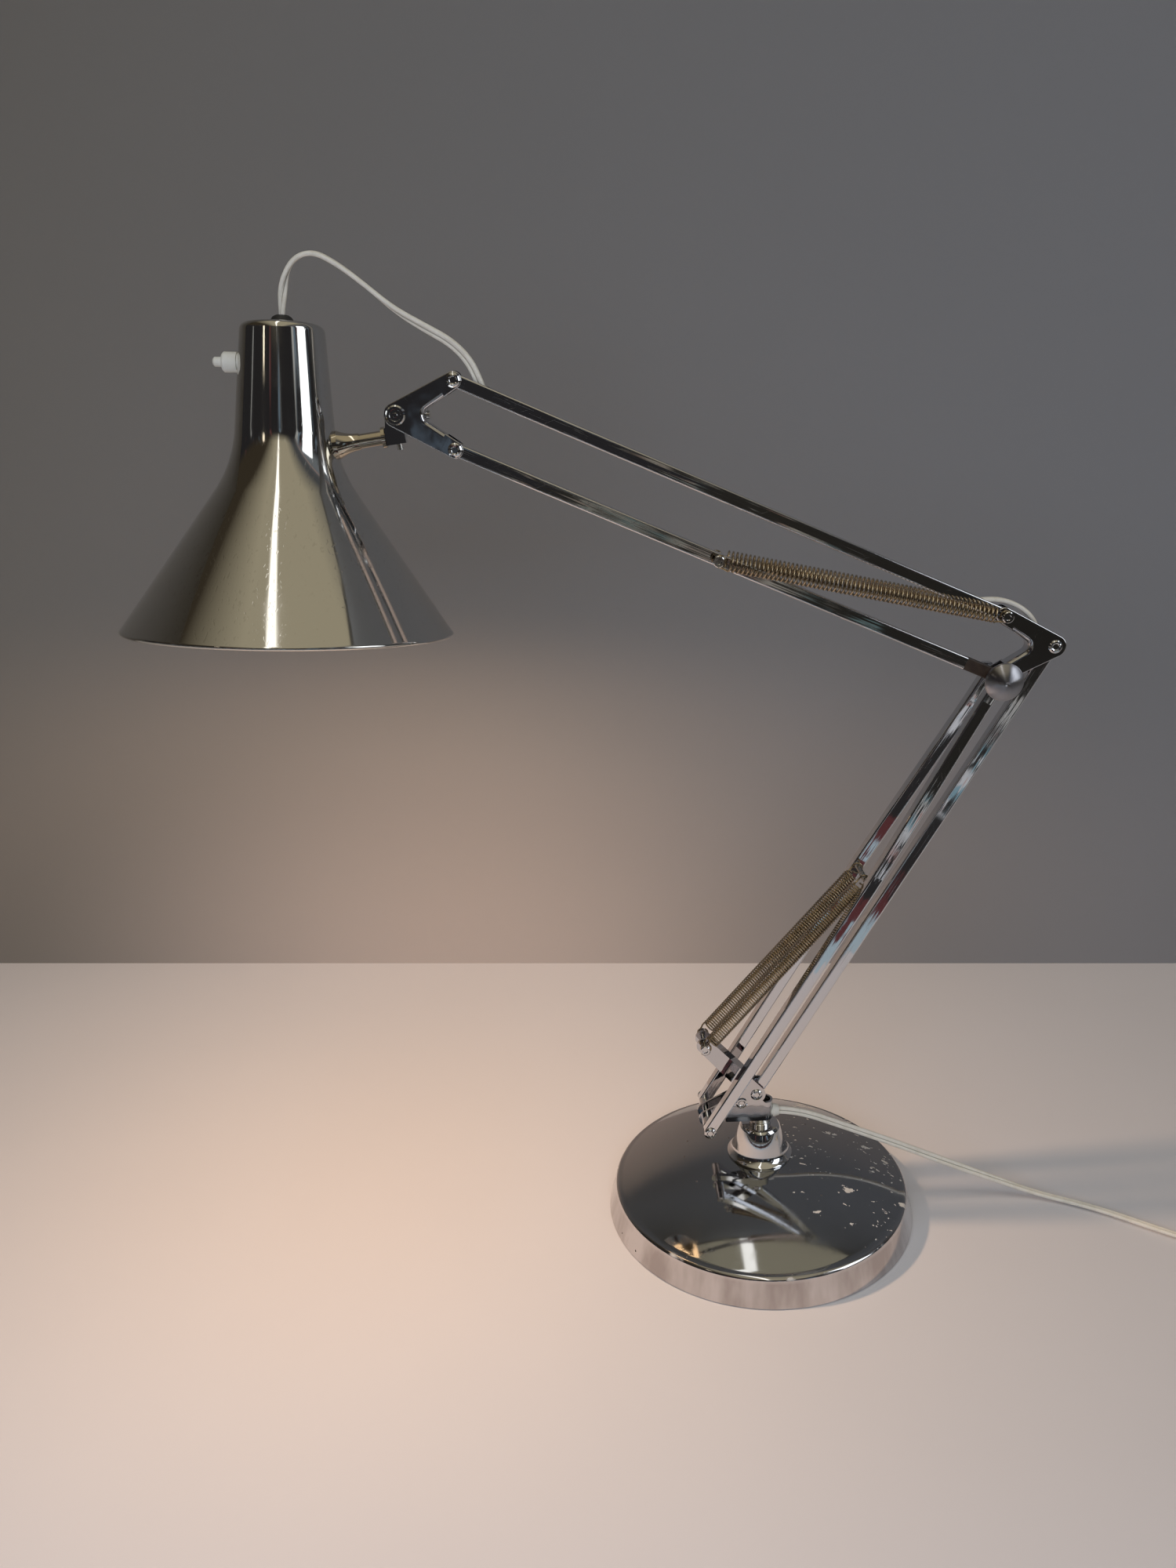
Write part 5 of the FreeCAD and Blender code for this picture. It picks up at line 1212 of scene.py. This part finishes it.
# floor, backdrop and light
studio = {
    "backdropFoot": ((-3.0, 0.603), (3.0, 0.119)),
    "backdropHeight": 2.4,
    "reach": 6.0,
    "rough": 0.8,
    "floorTone": (0.73, 0.71, 0.73),
    "backdropTone": (0.24, 0.225, 0.205),
    # painted light: the backdrop's right side paler and cooler, as if lit from a window on the right
    "paintedLightRight": (0.285, 0.29, 0.31),
    "paintedLightStart": (-0.7, 0.4),
    "glow": {  # painted glow of the bulb's light, paler low on the backdrop
        "place": (-0.245, -0.06),
        "reach": (0.04, 0.50),
        "flatter": 1.5,
        "tone": (0.52, 0.465, 0.435),
    },
    "surroundTone": (0.30, 0.30, 0.305),
    "card": {  # stands in for the dim room in front of the table, for the plating to mirror
        "reach": (-6.0, -0.30),
        "width": 3,
        "height": 2 * mm,
        "ragged": (30.0, 5.0, 1.0),
        "raggedReach": 0.16,
        "bands": (
            (-0.365, (0.50, 0.66, 0.76)),
            (-0.445, (0.13, 0.030, 0.034)),
            (-0.53, (0.016, 0.015, 0.017)),
        ),
        "bandEdge": 0.012,
        "mottled": (-0.72, -5.9),
        "mottleEdge": 0.05,
        "patches": ((0.86, 0.87, 0.90), (0.70, 0.46, 0.43), (0.30, 0.50, 0.60)),
        "spots": (13.0, 5.0, 1.0),
        "spotNoise": (1.0, 4.0, 0.62),
        "shown": (0.47, 0.52),
        "kinds": (12.0, 7.0, 1.0),
        "kindSteps": ((0.40, 0.43), (0.56, 0.59)),
        "rarer": (-1.9, -1.4, 0.02, 0.0),
        "darkRight": {"x": (0.50, 0.62), "y": (-1.45, -1.25), "by": 0.3},
    },
}


def hideFrom(piece, *rays):
    for ray in rays:
        setattr(piece, "visible_" + ray, False)


def stagePlane(name, corners, tone):
    mesh = bpy.data.meshes.new(name)
    mesh.from_pydata(corners, [], [(0, 1, 2, 3)])
    piece = linkMesh(name, mesh)
    material, g, inputs = newMaterial(name)
    place = g.place()
    faint = g.range(g.noise(place, 3.0, 3.0), 0.3, 0.7)
    shade = g.mix(faint, tone, [c * 0.97 for c in tone])
    g.put(inputs["Base Color"], shade)
    g.put(inputs["Roughness"], studio["rough"])
    mesh.materials.append(material)
    return piece, g, inputs, shade, place


def makeCard(spec, floorTone):
    # lies just above the table's front, out of the camera's sight
    (low, high), w, h = spec["reach"], spec["width"], spec["height"]
    corners = [(-w, low, h), (w, low, h), (w, high, h), (-w, high, h)]
    piece, g, inputs, tone, place = stagePlane("frontCard", corners, floorTone)
    x, y, z = g.axes(place)
    ragged = g.noise(g.scaled(place, spec["ragged"]), 1.0, 3.0)
    away = g.plus(y, g.times(g.minus(ragged, 0.5), spec["raggedReach"]))
    for edge, colour in spec["bands"]:
        tone = g.mix(g.fall(away, edge - spec["bandEdge"], edge), tone, colour)
    gone = g.most(g.times(y, -1.0), 0.1)
    across = g.math("DIVIDE", x, gone)  # the pattern grows with distance
    spread = g.node("ShaderNodeCombineXYZ", None, X=across, Y=g.math("LOGARITHM", gone, math.e)).outputs[0]
    kind = g.noise(g.scaled(spread, spec["kinds"]), 1.0, 1.0)
    first, second, third = spec["patches"]
    toFirst, toThird = spec["kindSteps"]
    patch = g.mix(g.range(kind, *toFirst), second, g.mix(g.range(kind, *toThird), first, third))
    (near, far), soft = spec["mottled"], spec["mottleEdge"]
    inside = g.times(g.fall(away, near - soft, near), g.range(away, far - soft, far))
    dark = spec["darkRight"]
    farRight = g.times(g.range(x, *dark["x"]), g.fall(away, *dark["y"]))
    rarer = g.plus(g.range(away, *spec["rarer"]), g.times(farRight, dark["by"]))
    spots = g.noise(g.scaled(spread, spec["spots"]), *spec["spotNoise"])
    shown = g.times(g.range(g.minus(spots, rarer), *spec["shown"]), inside)
    g.put(inputs["Base Color"], g.mix(shown, tone, patch))
    hideFrom(piece, "camera", "diffuse", "shadow", "transmission")


def makeSurround(spec):
    # plain grey all round, for views from the sides and from behind
    r = spec["reach"]
    bm = bmesh.new()
    bmesh.ops.create_cone(bm, segments=96, radius1=r * 0.98, radius2=r * 0.98, depth=r, cap_ends=False)
    bm.transform(Matrix.Translation((0, 0, r * 0.5)))
    bmesh.ops.reverse_faces(bm, faces=bm.faces)
    piece = linkMesh("surround", meshOf(bm, "surround"))
    material, g, inputs = newMaterial("surround")
    g.put(inputs["Base Color"], (0, 0, 0))
    g.put(inputs["Emission Color"], spec["surroundTone"])
    g.put(inputs["Emission Strength"], 1.0)
    piece.data.materials.append(material)
    hideFrom(piece, "diffuse", "shadow", "transmission", "glossy")


def makeStudio(spec):
    r = spec["reach"]
    (x0, y0), (x1, y1) = spec["backdropFoot"]
    top = spec["backdropHeight"]
    stagePlane("tableTop", [(-r, -r, 0), (r, -r, 0), (r, r, 0), (-r, r, 0)], spec["floorTone"])
    corners = [(x0, y0, 0), (x1, y1, 0), (x1, y1, top), (x0, y0, top)]
    piece, g, inputs, shade, place = stagePlane("backdrop", corners, spec["backdropTone"])
    behind = g.node("ShaderNodeNewGeometry").outputs["Backfacing"]
    g.put(inputs["Alpha"], g.minus(1.0, behind))  # open when seen from behind
    x, y, z = g.axes(place)
    # painted glow: the bulb's light painted as a paler warm patch low on the backdrop
    glow = spec["glow"]
    dx = g.minus(x, glow["place"][0])
    dz = g.times(g.minus(z, glow["place"][1]), glow["flatter"])
    off = g.math("SQRT", g.plus(g.times(dx, dx), g.times(dz, dz)))
    # painted light: paler, cooler right side of the backdrop
    shade = g.mix(g.range(x, *spec["paintedLightStart"]), shade, spec["paintedLightRight"])
    near = g.fall(off, *glow["reach"], smooth=True)
    g.put(inputs["Base Color"], g.mix(near, shade, glow["tone"]))
    makeCard(spec["card"], spec["floorTone"])
    makeSurround(spec)


makeStudio(studio)

lights = {  # place, aim, size, watts, tone, and what doesn't see it: two are only mirrored, two only give light
    "rightWindow": ((1.19, -0.65, 0.88), (-0.27, 0.0, 0.56), (0.62, 1.1), 5.0, (0.92, 0.96, 1.0), "diffuse"),
    "leftLamp": ((-1.11, -1.08, 1.20), (-0.27, 0.0, 0.56), (0.09, 0.14), 0.09, (1.0, 0.86, 0.66), "diffuse"),
    "overhead": ((0.1, -0.1, 2.2), (0.1, -0.1, 0.0), (1.8, 1.4), 6.1, (0.90, 0.95, 1.0), "glossy"),
    "front": ((-0.35, -1.05, 0.60), (-0.15, -0.2, 0.0), (1.0, 0.5), 5.2, (0.74, 0.84, 1.0), "glossy"),
}


def addLight(name, kind, place, power, tone, hidden):
    data = bpy.data.lights.new(name, kind)
    data.energy = power
    data.color = tone
    lamp = bpy.data.objects.new(name, data)
    bpy.context.collection.objects.link(lamp)
    lamp.matrix_world = place
    hideFrom(lamp, "camera", hidden)
    return lamp, data


for name, (place, aim, size, *rest) in lights.items():
    turn = (Vector(aim) - Vector(place)).to_track_quat("-Z", "Y").to_matrix().to_4x4()
    data = addLight(name, "AREA", Matrix.Translation(place) @ turn, *rest)[1]
    data.shape = "RECTANGLE"
    data.size, data.size_y = size

bulbLight = {
    "above": 0.024,
    "radius": 0.018,
    "power": 5.4,
    "tone": (1.0, 0.67, 0.43),
    "cone": 172,
    "edge": 0.40,
    "casters": ["swivel_bracket", *finishOf["chromeLowerBars"], "elbow_bracket", *finishOf["chromeUpperBars"]],
}


def makeBulbLight(spec):
    # warm pool of light out of the shade's mouth
    place = shadeFrame @ Matrix.Translation((0, 0, spec["above"]))
    lamp, data = addLight("bulbLight", "SPOT", place, spec["power"], spec["tone"], "glossy")
    data.spot_size = math.radians(spec["cone"])
    data.spot_blend = spec["edge"]
    data.shadow_soft_size = spec["radius"]
    casters = bpy.data.collections.new("bulbCasters")  # the shade itself casts no shadow in this light
    for piece in [coverSkin, bellSkin, *springs] + [nodes[name] for name in spec["casters"]]:
        casters.objects.link(piece)
    lamp.light_linking.blocker_collection = casters


makeBulbLight(bulbLight)

room = {
    "dark": (0.022, 0.021, 0.022),
    "cool": (0.15, 0.20, 0.25),
    "red": (0.16, 0.05, 0.045),
    "pale": (0.50, 0.50, 0.49),
    "ceiling": (0.042, 0.033, 0.022),
    "ceilingBands": (  # where each tone sets in across the ceiling, from left to right
        ((-0.80, -0.24), (0.40, 0.355, 0.255)),
        ((0.50, 0.95), (0.075, 0.078, 0.082)),
        ((1.12, 1.34), (0.16, 0.175, 0.19)),
    ),
    "ceilingLines": (  # place across the ceiling, half width, tone
        (-0.045, 0.030, (2.2, 2.112, 1.936)),
        (1.25, 0.020, (0.30, 0.22, 0.20)),
    ),
    "lineEdge": 0.012,
    "tall": (1.0, 1.0, 0.45),
    "clutter": {"scale": 7.0, "detail": 2.0, "rough": 0.55, "distortion": 0.8, "shown": (0.60, 0.66)},
    "kinds": (4.3, 1.0),
    "kindSteps": ((0.42, 0.46), (0.56, 0.60)),
    "ceilingFrom": (0.40, 0.50),
}


def makeWorld(spec):
    # dark room with a paler ceiling and a tube light, for the plating to mirror
    world = bpy.data.worlds.new("room")
    bpy.context.scene.world = world
    world.use_nodes = True
    tree = world.node_tree
    tree.nodes.clear()
    g = Graph(tree)
    way = g.node("ShaderNodeTexCoord").outputs["Generated"]
    x, y, z = g.axes(way)
    across = g.math("DIVIDE", x, g.most(z, 0.05))
    ceiling = spec["ceiling"]
    for reach, tone in spec["ceilingBands"]:
        ceiling = g.mix(g.range(across, *reach), ceiling, tone)
    for place, half, tone in spec["ceilingLines"]:
        line = g.fall(g.offset(across, place), half, half + spec["lineEdge"])
        ceiling = g.mix(line, ceiling, tone)
    tall = g.scaled(way, spec["tall"])
    kind = g.noise(tall, *spec["kinds"])
    toCool, toPale = spec["kindSteps"]
    patch = g.mix(g.range(kind, *toCool), spec["red"], spec["cool"])
    patch = g.mix(g.range(kind, *toPale), patch, spec["pale"])
    low = g.mix(patchy(g, tall, **spec["clutter"]), spec["dark"], patch)
    tone = g.mix(g.range(z, *spec["ceilingFrom"]), low, ceiling)
    background = g.node("ShaderNodeBackground", None, Color=tone, Strength=1.0)
    output = tree.nodes.new("ShaderNodeOutputWorld")
    tree.links.new(background.outputs[0], output.inputs["Surface"])


makeWorld(room)
bpy.context.scene.view_settings.view_transform = "Standard"
print("studio made")
